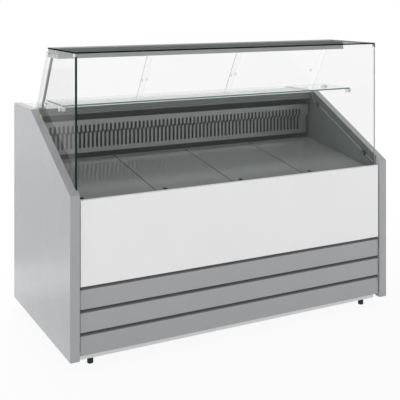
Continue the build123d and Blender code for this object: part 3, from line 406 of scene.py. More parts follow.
def powder_coat(
    name, tone, roughness=0.42, edge_wear_and_highlight=0.5, gloss=0.45, inside=None, cap=None, painted_groove_shade=False, joint=None
):
    """Satin powder coat with orange peel, a slow drift of tone and slightly paler edges: partly wear,
    partly a painted highlight where edges catch the light.

    inside is the colour of faces behind the lip that look at the middle of the case, a darker copy of the
    paint that paints shade there, and cap that of such faces on the lip itself and of faces that look
    straight up, a paler copy that paints light there. Grooved coats get painted shade: faces that look up
    grow darker towards their back, as the shaded gaps between slats are. A joint is the height of a dark
    line between two sheets."""
    coat = Finish(name, specular_ior_level=gloss)
    if inside:
        # Inner faces: behind the lip they get the darker tone, painted shade, and on the lip the paler
        # tone, painted light
        inner = (coat.along(coat.normal, X) * coat.along(coat.place, SIDES["left"])).over(0.3)
        tone = coat.mix(tone, coat.mix(cap, inside, coat.along(coat.place, Y).over(LIP_BACK)), inner)
        # Faces that look straight up get the paler tone: painted light, as if lit from above
        tone = coat.mix(tone, cap, coat.along(coat.normal, Z).over(0.95))
    if painted_groove_shade:
        # Painted shade: faces that look up, the slats' top flanges, darken towards their back, as the gaps
        # between slats are shaded
        up = coat.along(coat.normal, Z).over(0.15)
        back = coat.along(coat.place, Y).eased(FLANGE_FRONT, FLANGE_BACK)
        tone = coat.shade(tone, 1 - up * (0.55 + back * 0.32))
    if joint:
        away = abs(coat.along(coat.place, Z) - joint)
        tone = coat.shade(tone, 0.3 + away.eased(0.0008, 0.002) * 0.7)
    drift = coat.noise(2.4, detail=3) - 0.5
    peel = coat.noise(620)
    # Paler edges: partly wear, partly a painted highlight where edges catch the light
    edge = coat.edge(0.0012)
    return coat.surface(
        coat.shade(tone, 1 + drift * 0.05 + (peel - 0.5) * 0.03 + edge * edge_wear_and_highlight),
        roughness + drift * 0.08 + (peel - 0.5) * 0.06,
        coat.bump(peel, strength=0.22, distance=0.00012),
    )


def brushed_steel(name, tone, brush=FINE_BRUSHED_X, roughness=0.3, metallic=0.85, seams=None, underside_light=0):
    """Brushed sheet steel: fine lines along the axis with the smallest brush factor.

    seams gives the first seam's X and the pitch of sheets that lie side by side, which are darker at their
    folded edges. Faces that look down can be made lighter by a share: painted light, standing in for light
    bounced up from below."""
    steel = Finish(name, specular_ior_level=0.5, metallic=metallic)
    lines = steel.noise(1, detail=3, stretch=brush)
    cloud = steel.noise(5, detail=3)
    smear = steel.noise(17, detail=4)
    light = 0.9 + lines * 0.14 + (cloud - 0.5) * 0.1
    if seams:
        first, pitch = seams
        turn = (steel.along(steel.place, X) - first) / pitch
        near = abs(turn - turn.whole()) * pitch
        light = light * (0.06 + near.eased(0.0013, 0.003) * 0.94)
    # Painted light on faces that look down, standing in for light bounced up from below
    if underside_light:
        light = light * (1 + steel.along(steel.normal, (0, 0, -1)).over(0.3) * underside_light)
    return steel.surface(
        steel.shade(tone, light),
        roughness + (lines - 0.5) * 0.14 + (smear - 0.5) * 0.08,
        steel.bump(lines, strength=0.05, distance=0.00006),
    )


def moulded(name, tone, roughness=0.45, grain=1900):
    """Moulded plastic, enamel or rubber with a fine spark-eroded grain."""
    plastic = Finish(name, specular_ior_level=0.4)
    spark = plastic.noise(grain)
    drift = plastic.noise(12)
    return plastic.surface(
        plastic.shade(tone, 0.94 + (spark - 0.5) * 0.12 + drift * 0.12),
        roughness + (spark - 0.5) * 0.12,
        plastic.bump(spark, strength=0.25, distance=0.00008),
    )


def bare_metal(name, tone, roughness, low_tone=None, **constants):
    """Drawn or plated metal with faint handling marks. Low fittings can have their own tone."""
    metal = Finish(name, **(constants or {"metallic": 1.0}))
    if low_tone:
        tone = metal.mix(low_tone, tone, metal.along(metal.place, Z).over(CLIP_LEVEL))
    marks = metal.noise(420, detail=3)
    dull = metal.noise(38, detail=4)
    return metal.surface(
        metal.shade(tone, 0.9 + marks * 0.1 + (dull - 0.5) * 0.16),
        roughness + (dull - 0.5) * 0.18,
        metal.bump(marks, strength=0.08, distance=0.00006),
    )


def clear_plastic(name, tone, roughness, alpha, grain):
    """Clear moulded plastic with a faint haze."""
    plastic = Finish(name, roughness=roughness, alpha=alpha)
    plastic.set("Base Color", plastic.shade(tone, 0.95 + plastic.noise(grain) * 0.1))
    return plastic.material


def clear_sheet(name, across, edges, face, clear, grazing, mirror=1.0, power=2.0, rim=None):
    """Glass: large faces that veil more at a flat angle, on the side that is looked at, and cut edges.

    across is the normal of the two large faces. edges gives the colour and the opacity of the cut edges by
    the way that they face, and "other" for the rest: these tones are painted light and shade, dark on
    shaded sides and pale where an edge carries light from the white room. clear and grazing are the opacity
    of the faces seen straight and at a flat angle, power says how late it grows, and mirror how far they
    mirror. rim gives an X and a Z: left of it and below it the left edge's dark tone, painted shade, shows
    through the faces."""
    glass = Finish(name, specular_ior_level=0.0)
    place = glass.place
    normal = glass.normal
    flat = abs(glass.along(normal, across)).over(0.5)
    if rim:
        below = 1 - glass.along(place, Z).over(rim[1])
        beside = (1 - glass.along(place, X).over(rim[0])) * below
        flat = flat * (1 - beside)
    cut, shown = edges["other"]
    # Edge tones by side: painted shade on shaded sides, painted light where an edge carries light from the
    # white room
    for side, way in SIDES.items():
        if side in edges:
            faces = glass.along(normal, way).over(0.5)
            tone, opacity = edges[side]
            if rim and side == "left":
                faces = faces.larger(beside)
                opacity = below * opacity
            cut = glass.mix(cut, tone, faces)
            shown = shown + faces * (opacity - shown)
    tilt = glass.node("ShaderNodeLayerWeight", {"Blend": 0.5}, "Facing")
    smear = glass.noise(9, detail=4)
    grease = glass.noise(70)
    behind = glass.node("ShaderNodeNewGeometry", output="Backfacing")
    veil = (clear + (tilt ** power) * (grazing - clear) + (smear - 0.5) * 0.02) * (1 - behind)
    glass.set("Base Color", glass.mix(cut, face, flat))
    glass.set("Metallic", flat * mirror)
    glass.set("Roughness", 0.25 - flat * 0.23 + flat * grease * 0.02)
    glass.set("Alpha", (1 - flat) * shown + flat * veil)
    return glass.material


def diffuser(name):
    """Milky cover of the lamp."""
    cover = Finish(name, specular_ior_level=0.4)
    haze = cover.noise(260)
    along = cover.noise(30, stretch=X)
    tone = cover.shade(linear("f2f3f1"), 0.95 + haze * 0.04 + along * 0.03)
    return cover.surface(tone, 0.35, cover.bump(haze, strength=0.1, distance=0.0001))


def dress(material, *nodes):
    """Gives CAD nodes a finish."""
    for node in nodes:
        mesh = NODES[node].data
        mesh.materials.clear()
        mesh.materials.append(material)


# Meshes and geometry trees

class Growth(Graph):
    """A Geometry Nodes tree with named inputs, the last of which is the material."""

    def __init__(self, name, inputs):
        tree = bpy.data.node_groups.new(name, "GeometryNodeTree")
        super().__init__(tree)
        for label, kind in {"Geometry": "Geometry", **inputs, "Material": "Material"}.items():
            tree.interface.new_socket(label, in_out="INPUT", socket_type=f"NodeSocket{kind}")
        tree.interface.new_socket("Geometry", in_out="OUTPUT", socket_type="NodeSocketGeometry")
        self.given = tree.nodes.new("NodeGroupInput")

    def input(self, label):
        """A named input."""
        return Socket(self, pick(self.given.outputs, label))

    def moved(self, shape, **parts):
        """A shape shifted along its axes."""
        return self.node("GeometryNodeTransform", {"Geometry": shape, "Translation": self.vector(**parts)})

    def line(self, start, end):
        """A line along X."""
        ends = {"Start": self.vector(X=start), "End": self.vector(X=end)}
        return self.node("GeometryNodeCurvePrimitiveLine", ends)

    def on_points(self, points, instance, **more):
        """Copies of an instance on some points."""
        return self.node("GeometryNodeInstanceOnPoints", {"Points": points, "Instance": instance, **more})

    def end(self, geometry):
        """Realises the instances, sets the material and closes the tree."""
        real = self.node("GeometryNodeRealizeInstances", {"Geometry": geometry})
        last = self.node("GeometryNodeSetMaterial", {"Geometry": real, "Material": self.input("Material")})
        self.node("NodeGroupOutput", {"Geometry": last})
        return self.tree


def added(name, data):
    """A new object in the scene."""
    thing = bpy.data.objects.new(name, data)
    bpy.context.scene.collection.objects.link(thing)
    return thing


def shaped(name, shape, material):
    """A new object from a bmesh."""
    mesh = bpy.data.meshes.new(name)
    shape.to_mesh(mesh)
    shape.free()
    mesh.materials.append(material)
    return added(name, mesh)


def carried(piece, body):
    """Lets a finished piece ride on a body."""
    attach(piece, body)


def grown(name, tree, places, values, body):
    """Runs a tree on some places and keeps the result as a plain mesh that rides on a body."""
    base = places_mesh(f"{name} places", places)
    piece = added(name, base)
    modifier = piece.modifiers.new("growth", "NODES")
    modifier.node_group = tree
    for item in tree.interface.items_tree:
        if item.in_out == "INPUT" and item.name in values:
            modifier[item.identifier] = values[item.name]
    bpy.context.view_layer.update()
    graph = bpy.context.evaluated_depsgraph_get()
    mesh = bpy.data.meshes.new_from_object(piece.evaluated_get(graph))
    if not mesh.polygons:
        raise RuntimeError(f"{name} came out empty")
    piece.modifiers.remove(modifier)
    piece.data = mesh
    mesh.name = name
    bpy.data.meshes.remove(base)
    carried(piece, body)


def built(name, shape, material, body):
    """Turns a bmesh into a piece that rides on a body."""
    bmesh.ops.recalc_face_normals(shape, faces=shape.faces)
    carried(shaped(name, shape, material), body)


def places_mesh(name, places):
    """A mesh of loose points, each with the direction that it faces."""
    mesh = bpy.data.meshes.new(name)
    mesh.from_pydata([place for place, _ in places], [], [])
    facing = mesh.attributes.new("facing", "FLOAT_VECTOR", "POINT")
    for point, (_, direction) in zip(facing.data, places):
        point.vector = direction
    return mesh


def screw_tree():
    """Pan-head screws with a cross recess, one on each point, standing along its facing."""
    tree = Growth("pan head screws", {"Head radius": "Float", "Head height": "Float"})
    radius = tree.input("Head radius")
    height = tree.input("Head height")
    rim = tree.node(
        "GeometryNodeMeshCylinder", {"Vertices": 20, "Radius": radius, "Depth": height * 0.5}, "Mesh"
    )
    crown = tree.node("GeometryNodeMeshCone", {
        "Vertices": 20, "Radius Top": radius * 0.62, "Radius Bottom": radius, "Depth": height * 0.5,
    }, "Mesh")
    steps = [tree.moved(rim, Z=height * 0.25), tree.moved(crown, Z=height * 0.5)]
    head = tree.node("GeometryNodeMeshBoolean", {"Mesh 2": steps}, "Mesh", operation="UNION")
    bars = []
    for along, across in (("X", "Y"), ("Y", "X")):
        size = tree.vector(**{along: radius * 1.05, across: radius * 0.24, "Z": height * 0.9})
        bar = tree.node("GeometryNodeMeshCube", {"Size": size}, "Mesh")
        bars.append(tree.moved(bar, Z=height * 0.95))
    head = tree.node(
        "GeometryNodeMeshBoolean", {"Mesh 1": head, "Mesh 2": bars}, "Mesh", operation="DIFFERENCE"
    )
    facing = tree.node(
        "GeometryNodeInputNamedAttribute", {"Name": "facing"}, "Attribute", data_type="FLOAT_VECTOR"
    )
    turn = tree.node("FunctionNodeAlignRotationToVector", {"Vector": facing}, axis="Z")
    return tree.end(tree.on_points(tree.input("Geometry"), head, Rotation=turn))


def guard_tree():
    """A round wire guard: rings and spokes in the plane across Y."""
    radii = {"Inner radius": "Float", "Outer radius": "Float", "Wire radius": "Float"}
    tree = Growth("wire guard", {**radii, "Rings": "Int", "Spokes": "Int", "Place": "Vector"})
    inner = tree.input("Inner radius")
    outer = tree.input("Outer radius")
    rings = tree.input("Rings")
    spokes = tree.input("Spokes")
    index = tree.node("GeometryNodeInputIndex")

    def circle(resolution, radius):
        """A round curve."""
        sizes = {"Resolution": resolution, "Radius": radius}
        return tree.node("GeometryNodeCurvePrimitiveCircle", sizes, "Curve", mode="RADIUS")

    points = tree.node("GeometryNodePoints", {"Count": rings})
    radius = inner + (outer - inner) * index / (rings - 1)
    circles = tree.on_points(points, circle(40, 1.0), Scale=radius)
    points = tree.node("GeometryNodePoints", {"Count": spokes})
    spoke = tree.line(inner, outer)
    rays = tree.on_points(points, spoke, Rotation=tree.vector(Z=pi / 4 + index * (2 * pi) / spokes))
    wires = tree.node("GeometryNodeJoinGeometry", {"Geometry": [circles, rays]})
    wires = tree.node("GeometryNodeRealizeInstances", {"Geometry": wires})
    guard = tree.node("GeometryNodeCurveToMesh", {
        "Curve": wires, "Profile Curve": circle(6, tree.input("Wire radius")), "Fill Caps": True,
    })
    return tree.end(tree.node("GeometryNodeTransform", {
        "Geometry": guard, "Translation": tree.input("Place"), "Rotation": (pi / 2, 0, 0),
    }))


def fin_tree():
    """Thin fins in a row along X, between two ends."""
    tree = Growth("coil fins", {"Count": "Int", "First": "Vector", "Pitch": "Float", "Fin": "Vector"})
    row = tree.node("GeometryNodeMeshLine", {
        "Count": tree.input("Count"),
        "Start Location": tree.input("First"),
        "Offset": tree.vector(X=tree.input("Pitch")),
    }, mode="OFFSET")
    fin = tree.node("GeometryNodeMeshCube", {"Size": tree.input("Fin")}, "Mesh")
    return tree.end(tree.on_points(row, fin))


def hood_tree():
    """Pressed louvre hoods: a quarter-round roof over each point, open at its lower side."""
    tree = Growth("louvre hoods", {"Length": "Float", "Reach": "Float", "Thickness": "Float"})
    half = tree.input("Length") * 0.5
    line = tree.line(half * -1.0, half)
    arc = tree.node("GeometryNodeCurveArc", {
        "Resolution": 7, "Radius": tree.input("Reach"), "Start Angle": 0.0, "Sweep Angle": pi / 2,
    }, "Curve", mode="RADIUS")
    roof = tree.node("GeometryNodeCurveToMesh", {"Curve": line, "Profile Curve": arc, "Fill Caps": False})
    shell = tree.node("GeometryNodeExtrudeMesh", {
        "Mesh": roof, "Offset Scale": tree.input("Thickness"), "Individual": False,
    }, "Mesh", mode="FACES")
    return tree.end(tree.on_points(tree.input("Geometry"), shell))


def strip(shape, low, high, bevel):
    """Adds a block with softened edges to a bmesh."""
    size = [b - a for a, b in zip(low, high)]
    centre = [(a + b) / 2 for a, b in zip(low, high)]
    made = bmesh.ops.create_cube(shape, size=1, matrix=Matrix.LocRotScale(centre, None, size))
    edges = list(dict.fromkeys(edge for vertex in made["verts"] for edge in vertex.link_edges))
    bmesh.ops.bevel(shape, geom=edges, offset=bevel, segments=2, affect="EDGES", clamp_overlap=True)


def on_slope(depth, above):
    """Y and Z of a point above the end panels' slope, at a distance from the case's front."""
    return FRONT + depth, SLOPE_FOOT + depth * SLOPE_RISE + above


def middle(node):
    """The middle of a CAD node's box."""
    low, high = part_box(node)
    return (low + high) / 2


# Operators

class CASE_OT_cladding(bpy.types.Operator):
    """Paints the end panels, slats, front panel, plinth, rear sheets and base frame"""

    bl_idname = "display_case.cladding"
    bl_label = "Cladding"

    def execute(self, context):
        tones = context.scene.case_colours
        # End panels: painted shade on inner faces behind the lip, painted light on the lip's reveals and on
        # the flat tops
        sides = powder_coat(
            "grey powder coat", tones.paint, 0.26, gloss=0.58, inside=tones.inner_wall, cap=tones.cap
        )
        dress(sides, "end_panel_left", "end_panel_right")
        # Slats: painted shade in the gaps between them
        slats = powder_coat("slat powder coat", tones.paint, painted_groove_shade=True)
        dress(slats, "slat_upper", "slat_middle", "slat_lower")
        dress(powder_coat("white satin", tones.white, 0.36, edge_wear_and_highlight=0.05), "front_panel")
        dress(powder_coat("plinth paint", tones.plinth, 0.45, edge_wear_and_highlight=0.2), "plinth_strip")
        dress(powder_coat("frame paint", tones.frame_paint, 0.5), "base_frame")
        rear = powder_coat("rear paint", tones.rear_paint, edge_wear_and_highlight=0.2, joint=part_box("rear_panel")[0].z)
        dress(rear, "rear_panel", "service_grille")
        return {"FINISHED"}


class CASE_OT_cold_well(bpy.types.Operator):
    """Finishes the tub, deck, air grille, both coils and all fans"""

    bl_idname = "display_case.cold_well"
    bl_label = "Cold well"

    def execute(self, context):
        tones = context.scene.case_colours
        lining = brushed_steel("lining sheet", tones.lining, BRUSHED_X, 0.5, metallic=0.0)
        dress(lining, "insulated_tub", "deck_rails")
        trays = [f"deck_panel_{number}" for number in range(1, 5)]
        first, second = (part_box(tray)[0].x for tray in trays[:2])
        seams = (first, second - first)
        dress(brushed_steel("deck steel", tones.deck, FINE_BRUSHED_Y, 0.11, 0.5, seams=seams), *trays)
        # The grille's overhangs get painted light from below
        grille = brushed_steel("grille steel", tones.grille, roughness=0.36, metallic=0.5, underside_light=0.5)
        dress(grille, "air_grille")
        dress(brushed_steel("fan plate steel", tones.lining), "fan_plate")
        dress(bare_metal("coil aluminium", tones.aluminium, 0.35), "evaporator", "condenser")
        wheels = moulded("fan plastic", tones.plastic)
        dress(wheels, "evaporator_fan_left", "evaporator_fan_right", "condenser_fan")
        dress(moulded("motor enamel", tones.enamel, 0.35, grain=900), "evaporator_fan_motors")
        return {"FINISHED"}


class CASE_OT_glazing(bpy.types.Operator):
    """Finishes the glass, doors, tracks, post, canopy, lamp, brackets and shelf clamps"""

    bl_idname = "display_case.glazing"
    bl_label = "Glazing"

    def execute(self, context):
        tones = context.scene.case_colours
        # Cut edges are toned by side as painted light and shade: dark on the shaded left, pale on the lit
        # right
        dark = tones.glass_edge
        pale = linear("e2e8e6")
        rim = (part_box("front_glass")[0].x + RIM_WIDTH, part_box("canopy")[1].z - RIM_DROP)
        edges = {"left": (dark, 1.0), "right": (linear("a6abaa"), 0.9), "other": (dark, 0.6)}
        front = clear_sheet("front glass", Y, edges, face=(0.3, 0.3, 0.3), clear=0.06, grazing=0.5, rim=rim)
        dress(front, "front_glass")
        edges = {"front": (linear("b4b8b8"), 0.4), "back": (pale, 0.25), "other": (pale, 0.45)}
        side = clear_sheet("side glass", X, edges, (0.6, 0.61, 0.605), clear=0.02, grazing=0.98, power=4.0)
        dress(side, "side_glass_left", "side_glass_right")
        edges = {"right": (linear("7d8986"), 0.6), "back": (dark, 0.1), "other": (linear("0c1512"), 1.0)}
        top = clear_sheet(
            "top glass", Z, edges, linear("3d4a46"), clear=0.06, grazing=0.75, mirror=0.0, power=3.0
        )
        dress(top, "top_glass")
        edges = {
            "left": (linear("59615e"), 0.9),
            "right": (pale, 0.1),
            "back": (pale, 0.05),
            "other": (tones.shelf_edge, 1.0),
        }
        shelf = clear_sheet(
            "shelf glass", Z, edges, linear("cfd6d3"), clear=0.04, grazing=0.26, mirror=0.35
        )
        dress(shelf, "glass_shelf")
        low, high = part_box("door_middle")
        rise = Vector((0, high.y - low.y, high.z - low.z)).normalized()
        edges = {"left": (linear("8b918f"), 0.8), "right": (pale, 0.12), "other": (pale, 0.3)}
        pane = clear_sheet(
            "door pane", (0, rise.z, rise.y), edges, (0.8, 0.8, 0.8), clear=0.02, grazing=0.19
        )
        dress(pane, *DOORS)
        cups = clear_plastic("clear cups", linear("c9cccb"), roughness=0.12, alpha=0.05, grain=300)
        dress(cups, *(f"{door}_grips" for door in DOORS))
        for name, alpha, node in (("track", 0.12, "lower_door_track"), ("guide", 0.08, "upper_door_track")):
            dress(clear_plastic(f"clear {name}", tones.track, 0.2, alpha, grain=120), node)
        dress(brushed_steel("post aluminium", tones.post, BRUSHED_Z, 0.35, metallic=0.6), "glazing_posts")
        dress(powder_coat("canopy paint", tones.canopy, 0.6, edge_wear_and_highlight=0.2, gloss=0.0), "canopy")
        dress(diffuser("lamp cover"), "lamp")
        brackets = bare_metal(
            "glass brackets", tones.chrome, 0.32, tones.clip, metallic=0.3, specular_ior_level=0.4
        )
        dress(brackets, "glass_brackets")
        dress(self.clamp(tones), "shelf_clamps")
        return {"FINISHED"}

    def clamp(self, tones):
        """Clear moulded clamps, dark where they cross the side glass's thickness."""
        low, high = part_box("side_glass_right")
        plastic = Finish("clear clamps", roughness=0.25, specular_ior_level=0.4)
        side = abs(plastic.along(plastic.place, X))
        slack = 0.0001
        # The clamps are dark where they cross the side glass's thickness
        dark_span = side.over(low.x + slack) * (1 - side.over(high.x - slack))
        haze = plastic.noise(240)
        tone = plastic.shade(tones.clamp, 0.96 + haze * 0.06)
        plastic.set("Base Color", plastic.mix(tone, tones.clip, dark_span))
        plastic.set("Alpha", 0.36 + haze * 0.04 + dark_span * 0.5)
        return plastic.material


class CASE_OT_worktop(bpy.types.Operator):
    """Finishes the worktop, its profile, the control box, keys and switches"""

    bl_idname = "display_case.worktop"
    bl_label = "Worktop and controls"

    def execute(self, context):
        tones = context.scene.case_colours
        dress(brushed_steel("worktop steel", tones.worktop, BRUSHED_X, 0.25, metallic=0.25), "worktop")
        profile = brushed_steel("ribbed aluminium", tones.profile, BRUSHED_X, 0.4, metallic=0.4)
        dress(profile, "worktop_profile")
        dress(moulded("control plastic", tones.plastic, 0.5), "control_box")
        dress(moulded("bezel plastic", tones.plastic, 0.35, grain=2600), "controller")
        dress(moulded("key plastic", tones.keys, 0.4, grain=2600), "button_up", "button_set", "button_down")
        dress(moulded("rocker plastic", tones.rubber, 0.3, grain=2600), "power_switch", "light_switch")
        return {"FINISHED"}


class CASE_OT_condensing_unit(bpy.types.Operator):
    """Finishes the compressor, condenser cowl, pipes, tray, feet and gland"""

    bl_idname = "display_case.condensing_unit"
    bl_label = "Condensing unit"

    def execute(self, context):
        tones = context.scene.case_colours
        dress(moulded("compressor enamel", tones.enamel, 0.3, grain=300), "compressor")
        sheet = brushed_steel("galvanised sheet", tones.aluminium, SPANGLE, 0.45, metallic=0.8)
        dress(sheet, "condenser_cowl", "unit_tray")
        dress(bare_metal("copper pipe", tones.copper, 0.28), "refrigerant_pipes")
        feet = [node for node in NODES if node.startswith("foot_")]
        dress(moulded("foot rubber", tones.rubber, 0.6, grain=1200), *feet)
        dress(moulded("gland nylon", tones.plastic), "cable_gland")
        return {"FINISHED"}


class CASE_OT_screws(bpy.types.Operator):
    """Adds the screws of the rear sheets, the control box and the glass clips"""

    bl_idname = "display_case.screws"
    bl_label = "Screws"

    def execute(self, context):
        sizes = context.scene.case_fittings
        rear = []
        for node, rows in SCREW_ROWS.items():
            low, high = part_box(node)
            for row in rows:
                for share in SCREW_COLUMNS:
                    place = (low.x + (high.x - low.x) * share, high.y, low.z + (high.z - low.z) * row)
                    rear.append((place, Y))
        low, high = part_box("control_box")
        for x in (low.x + SCREW_INSET, high.x - SCREW_INSET):
            for z in (low.z + SCREW_INSET, high.z - SCREW_INSET):
                rear.append(((x, high.y, z), Y))
        clips = []
        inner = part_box("side_glass_right")[0].x - CLIP_REACH
        for hand in (-1, 1):
            for depth in CLIP_DEPTHS:
                clips.append(((hand * inner, *on_slope(depth, -CLIP_DROP)), (-hand, 0, 0)))
        tree = screw_tree()
        values = {
            "Head radius": sizes.screw_radius,
            "Head height": sizes.screw_height,
            "Material": bare_metal("screw nickel", context.scene.case_colours.chrome, 0.18),
        }
        grown("rear_screws", tree, rear, values, "case")
        grown("clip_screws", tree, clips, values, "case")
        return {"FINISHED"}


class CASE_OT_wedge(bpy.types.Operator):
    """Adds the wedge that steadies the left glass on the slope"""

    bl_idname = "display_case.wedge"
    bl_label = "Glass wedge"

    def execute(self, context):
        sizes = context.scene.case_fittings
        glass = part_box("side_glass_left")[0].x - WEDGE_GAP
        y, z = on_slope(sizes.wedge_place, 0)
        shape = bmesh.new()
        strip(
            shape,
            (glass - sizes.wedge_width, y - sizes.wedge_length / 2, z + WEDGE_LIFT),
            (glass, y + sizes.wedge_length / 2, z + sizes.wedge_height),
            WEDGE_EDGE,
        )
        for vertex in shape.verts:
            along = vertex.co.y - y
            share = WEDGE_MIDDLE + (1 - WEDGE_MIDDLE) * along / sizes.wedge_length * 2
            vertex.co.z = z + (vertex.co.z - z) * share + along * SLOPE_RISE
        metal = moulded("passivated wedge", context.scene.case_colours.brass, 0.4, grain=900)
        built("glass_wedge", shape, metal, "case")
        return {"FINISHED"}


class CASE_OT_fan_guards(bpy.types.Operator):
    """Adds wire guards in front of the two evaporator fans and the condenser fan"""

    bl_idname = "display_case.fan_guards"
    bl_label = "Fan guards"

    def execute(self, context):
        sizes = context.scene.case_fittings
        tree = guard_tree()
        wire = bare_metal("guard wire", context.scene.case_colours.chrome, 0.3)
        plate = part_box("fan_plate")[0].y
        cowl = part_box("condenser")[0].y - COWL_DEPTH
        faces = {"evaporator_fan_left": plate, "evaporator_fan_right": plate, "condenser_fan": cowl}
        for fan, face in faces.items():
            low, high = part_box(fan)
            centre = middle(fan)
            grown(f"{fan}_guard", tree, [], {
                "Inner radius": GUARD_HOLE,
                "Outer radius": (high.z - low.z) / 2 + GUARD_OVERLAP,
                "Wire radius": sizes.guard_wire,
                "Rings": sizes.guard_rings,
                "Spokes": sizes.guard_spokes,
                "Place": (centre.x, face - sizes.guard_wire, centre.z),
                "Material": wire,
            }, "case")
        return {"FINISHED"}


class CASE_OT_fins(bpy.types.Operator):
    """Adds the thin fins of the evaporator and the condenser"""

    bl_idname = "display_case.fins"
    bl_label = "Coil fins"

    def execute(self, context):
        sizes = context.scene.case_fittings
        tree = fin_tree()
        foil = bare_metal("fin foil", context.scene.case_colours.aluminium, 0.3)
        for coil in ("evaporator", "condenser"):
            low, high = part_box(coil)
            centre = middle(coil)
            number = int(2 * (high.x - FIN_MARGIN) / sizes.fin_pitch)
            grown(f"{coil}_fins", tree, [], {
                "Count": number,
                "First": (-(number - 1) * sizes.fin_pitch / 2, centre.y, centre.z),
                "Pitch": sizes.fin_pitch,
                "Fin": (sizes.fin_thickness, high.y - low.y - FIN_TRIM, high.z - low.z - FIN_TRIM),
                "Material": foil,
            }, "case")
        return {"FINISHED"}


class CASE_OT_louvres(bpy.types.Operator):
    """Adds pressed hoods over the slots of the service grille"""

    bl_idname = "display_case.louvres"
    bl_label = "Louvre hoods"

    def execute(self, context):
        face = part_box("service_grille")[1].y
        level = middle("service_grille").z + SLOT_RISE
        places = []
        for x in SLOT_COLUMNS:
            for row in SLOT_ROWS:
                places.append(((x, face, level + row * SLOT_PITCH - HOOD_DROP), Y))
        grown("louvre_hoods", hood_tree(), places, {
            "Length": HOOD_LENGTH,
            "Reach": context.scene.case_fittings.hood_height,
            "Thickness": HOOD_THICKNESS,
            "Material": powder_coat("hood paint", context.scene.case_colours.rear_paint, edge_wear_and_highlight=0.2),
        }, "case")
        return {"FINISHED"}


class CASE_OT_seals(bpy.types.Operator):
    """Adds the rubber seals beside the front glass and the caps of the lamp"""

    bl_idname = "display_case.seals"
    bl_label = "Seals and lamp caps"

    def execute(self, context):
        width = context.scene.case_fittings.seal_width
        rubber = moulded("seal rubber", context.scene.case_colours.rubber, 0.55, grain=1500)
        low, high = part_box("front_glass")
        foot = low.z + SEAL_RISE
        shape = bmesh.new()
        for y in (low.y - width, high.y):
            start = (low.x + SEAL_INSET, y, foot)
            strip(shape, start, (high.x - SEAL_INSET, y + width, foot + width), width * 0.3)
        built("front_glass_seals", shape, rubber, "case")
        low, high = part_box("lamp")
        shape = bmesh.new()
        for x in (low.x - CAP_LENGTH, high.x):
            start = (x, low.y - CAP_WALL, low.z - CAP_WALL)
            strip(shape, start, (x + CAP_LENGTH, high.y + CAP_WALL, high.z), CAP_EDGE)
        built("lamp_caps", shape, moulded("cap plastic", linear("e4e5e4"), 0.4), "case")
        return {"FINISHED"}


class CASE_OT_display(bpy.types.Operator):
    """Adds the dark window of the controller's display"""

    bl_idname = "display_case.display"
    bl_label = "Display window"

    def execute(self, context):
        centre = middle("controller")
        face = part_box("controller")[1].y
        x = centre.x - WINDOW_SHIFT
        width, height = WINDOW_HALF
        shape = bmesh.new()
        strip(
            shape,
            (x - width, face - WINDOW_BACK, centre.z - height),
            (x + width, face - WINDOW_FACE, centre.z + height),
            WINDOW_EDGE,
        )
        window = Finish("display window", roughness=0.08, specular_ior_level=0.6)
        window.set("Base Color", window.shade(linear("1c0c0c"), 0.8 + window.noise(700) * 0.4))
        built("display_window", shape, window.material, "case")
        return {"FINISHED"}


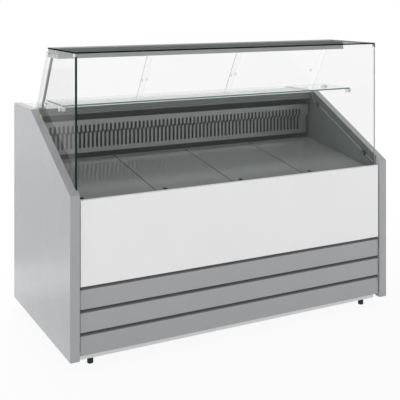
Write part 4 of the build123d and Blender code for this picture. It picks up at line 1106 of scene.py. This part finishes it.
class CASE_OT_stage(bpy.types.Operator):
    """Sets up the floor, the soft boxes, the white room and the camera"""

    bl_idname = "display_case.stage"
    bl_label = "Studio"

    def execute(self, context):
        stage = context.scene.case_stage
        context.scene.view_settings.view_transform = "Standard"
        context.scene.cycles.transparent_max_bounces = stage.clear_faces
        self.room(context.scene, stage)
        self.floor(stage)
        for side, box in SOFT_BOXES.items():
            self.soft_box(f"{side} box", getattr(stage, f"{side}_power"), **box)
        self.camera(context.scene, stage)
        return {"FINISHED"}

    def seen(self, graph):
        """1 for what the camera sees directly, in a mirror or through glass."""
        camera, mirror, through = (
            graph.node("ShaderNodeLightPath", output=f"Is {kind} Ray")
            for kind in ("Camera", "Glossy", "Transmission")
        )
        return camera.larger(mirror).larger(through)

    def room(self, scene, stage):
        """An even light that is pure white where it is seen."""
        world = bpy.data.worlds.new("white room")
        world.use_nodes = True
        scene.world = world
        graph = Graph(world.node_tree)
        even = graph.node("ShaderNodeBackground", {"Color": WHITE, "Strength": stage.ambient})
        white = graph.node("ShaderNodeBackground", {"Color": WHITE, "Strength": 1.0})
        mixed = graph.node("ShaderNodeMixShader", {0: self.seen(graph), 1: even, 2: white})
        graph.node("ShaderNodeOutputWorld", {"Surface": mixed})

    def floor(self, stage):
        """A white floor that keeps a share of the case's shadow."""
        material = bpy.data.materials.new("pale floor")
        material.use_nodes = True
        graph = Graph(material.node_tree)
        place = graph.node("ShaderNodeTexCoord", output="Object")
        reach = graph.node("ShaderNodeVectorMath", {0: place}, "Value", operation="LENGTH")
        share = stage.shadow_share * (1 - reach.eased(*SHADOW_FADE))
        lit = graph.node("ShaderNodeBsdfDiffuse", {"Color": (*stage.floor_colour, 1)})
        white = graph.node("ShaderNodeEmission", {"Color": WHITE, "Strength": 1.0})
        dim = graph.node("ShaderNodeEmission", {"Color": WHITE, "Strength": DIM_FLOOR})
        away = graph.along(place, Y)
        band = abs(away - STREAK_PLACE).eased(*STREAK_EDGE) * (1 - away.eased(*FAR_FLOOR) * FAR_SHARE)
        beside = 1 - graph.along(place, X).eased(*LEFT_OF_CASE)
        mirror = graph.node("ShaderNodeLightPath", output="Is Glossy Ray")
        white = graph.node("ShaderNodeMixShader", {0: mirror * beside * band, 1: white, 2: dim})
        factor = 1 - self.seen(graph) * (1 - share)
        mixed = graph.node("ShaderNodeMixShader", {0: factor, 1: white, 2: lit})
        graph.node("ShaderNodeOutputMaterial", {"Surface": mixed})
        shape = bmesh.new()
        bmesh.ops.create_circle(shape, cap_ends=True, radius=stage.floor_radius, segments=96)
        floor = shaped("floor", shape, material)

    def soft_box(self, name, power, place, aim, size):
        """A rectangular lamp that mirrors don't show."""
        lamp = bpy.data.lights.new(name, "AREA")
        lamp.shape = "RECTANGLE"
        lamp.size, lamp.size_y = size
        lamp.energy = power
        box = added(name, lamp)
        box.location = place
        box.rotation_euler = (Vector(aim) - Vector(place)).to_track_quat("-Z", "Y").to_euler()
        box.visible_glossy = False

    def camera(self, scene, stage):
        """A level camera whose picture lies below its horizon: upright edges stay upright.

        The lens looks down at the middle of the picture, and a sheared matrix keeps the picture's
        upright axis along the world's, as a view camera with a dropped back does."""
        ahead = Vector((sin(stage.camera_yaw), cos(stage.camera_yaw), 0))
        right = Vector((cos(stage.camera_yaw), -sin(stage.camera_yaw), 0))
        up = Vector(Z)
        drop = PHOTO_SIDE / 2 - stage.horizon_row
        look = ahead * stage.focal_pixels - up * drop
        back = -look.normalized()
        shear = Matrix.Identity(4)
        for column, axis in enumerate((right, up, back, Vector(stage.camera_place))):
            shear.col[column].xyz = axis
        data = bpy.data.cameras.new("camera")
        data.sensor_width = SENSOR
        data.lens = look.length * SENSOR / PHOTO_SIDE
        camera = added("camera", data)
        camera.parent = added("camera stand", None)
        camera.matrix_parent_inverse = shear
        scene.camera = camera


class CASE_PT_panel(bpy.types.Panel):
    """Lists the steps that dress the case"""

    bl_label = "Display case"
    bl_idname = "CASE_PT_panel"
    bl_space_type = "VIEW_3D"
    bl_region_type = "UI"
    bl_category = "Display case"

    def draw(self, context):
        for step in STEPS:
            self.layout.operator(step.bl_idname)


GROUPS = {"case_colours": CaseColours, "case_fittings": CaseFittings, "case_stage": CaseStage}
STEPS = (
    CASE_OT_cladding, CASE_OT_cold_well, CASE_OT_glazing, CASE_OT_worktop, CASE_OT_condensing_unit,
    CASE_OT_screws, CASE_OT_wedge, CASE_OT_fan_guards, CASE_OT_fins, CASE_OT_louvres, CASE_OT_seals,
    CASE_OT_display, CASE_OT_stage,
)
CLASSES = (*GROUPS.values(), *STEPS, CASE_PT_panel)


def register():
    """Adds the settings, the steps and the panel."""
    for group in CLASSES:
        bpy.utils.register_class(group)
    for name, group in GROUPS.items():
        setattr(bpy.types.Scene, name, PointerProperty(type=group))


def unregister():
    """Takes away what register adds."""
    for name in GROUPS:
        delattr(bpy.types.Scene, name)
    for group in reversed(CLASSES):
        bpy.utils.unregister_class(group)


def main():
    """Runs every step."""
    register()
    for step in STEPS:
        space, name = step.bl_idname.split(".")
        getattr(getattr(bpy.ops, space), name)()


if __name__ == "__main__":
    main()
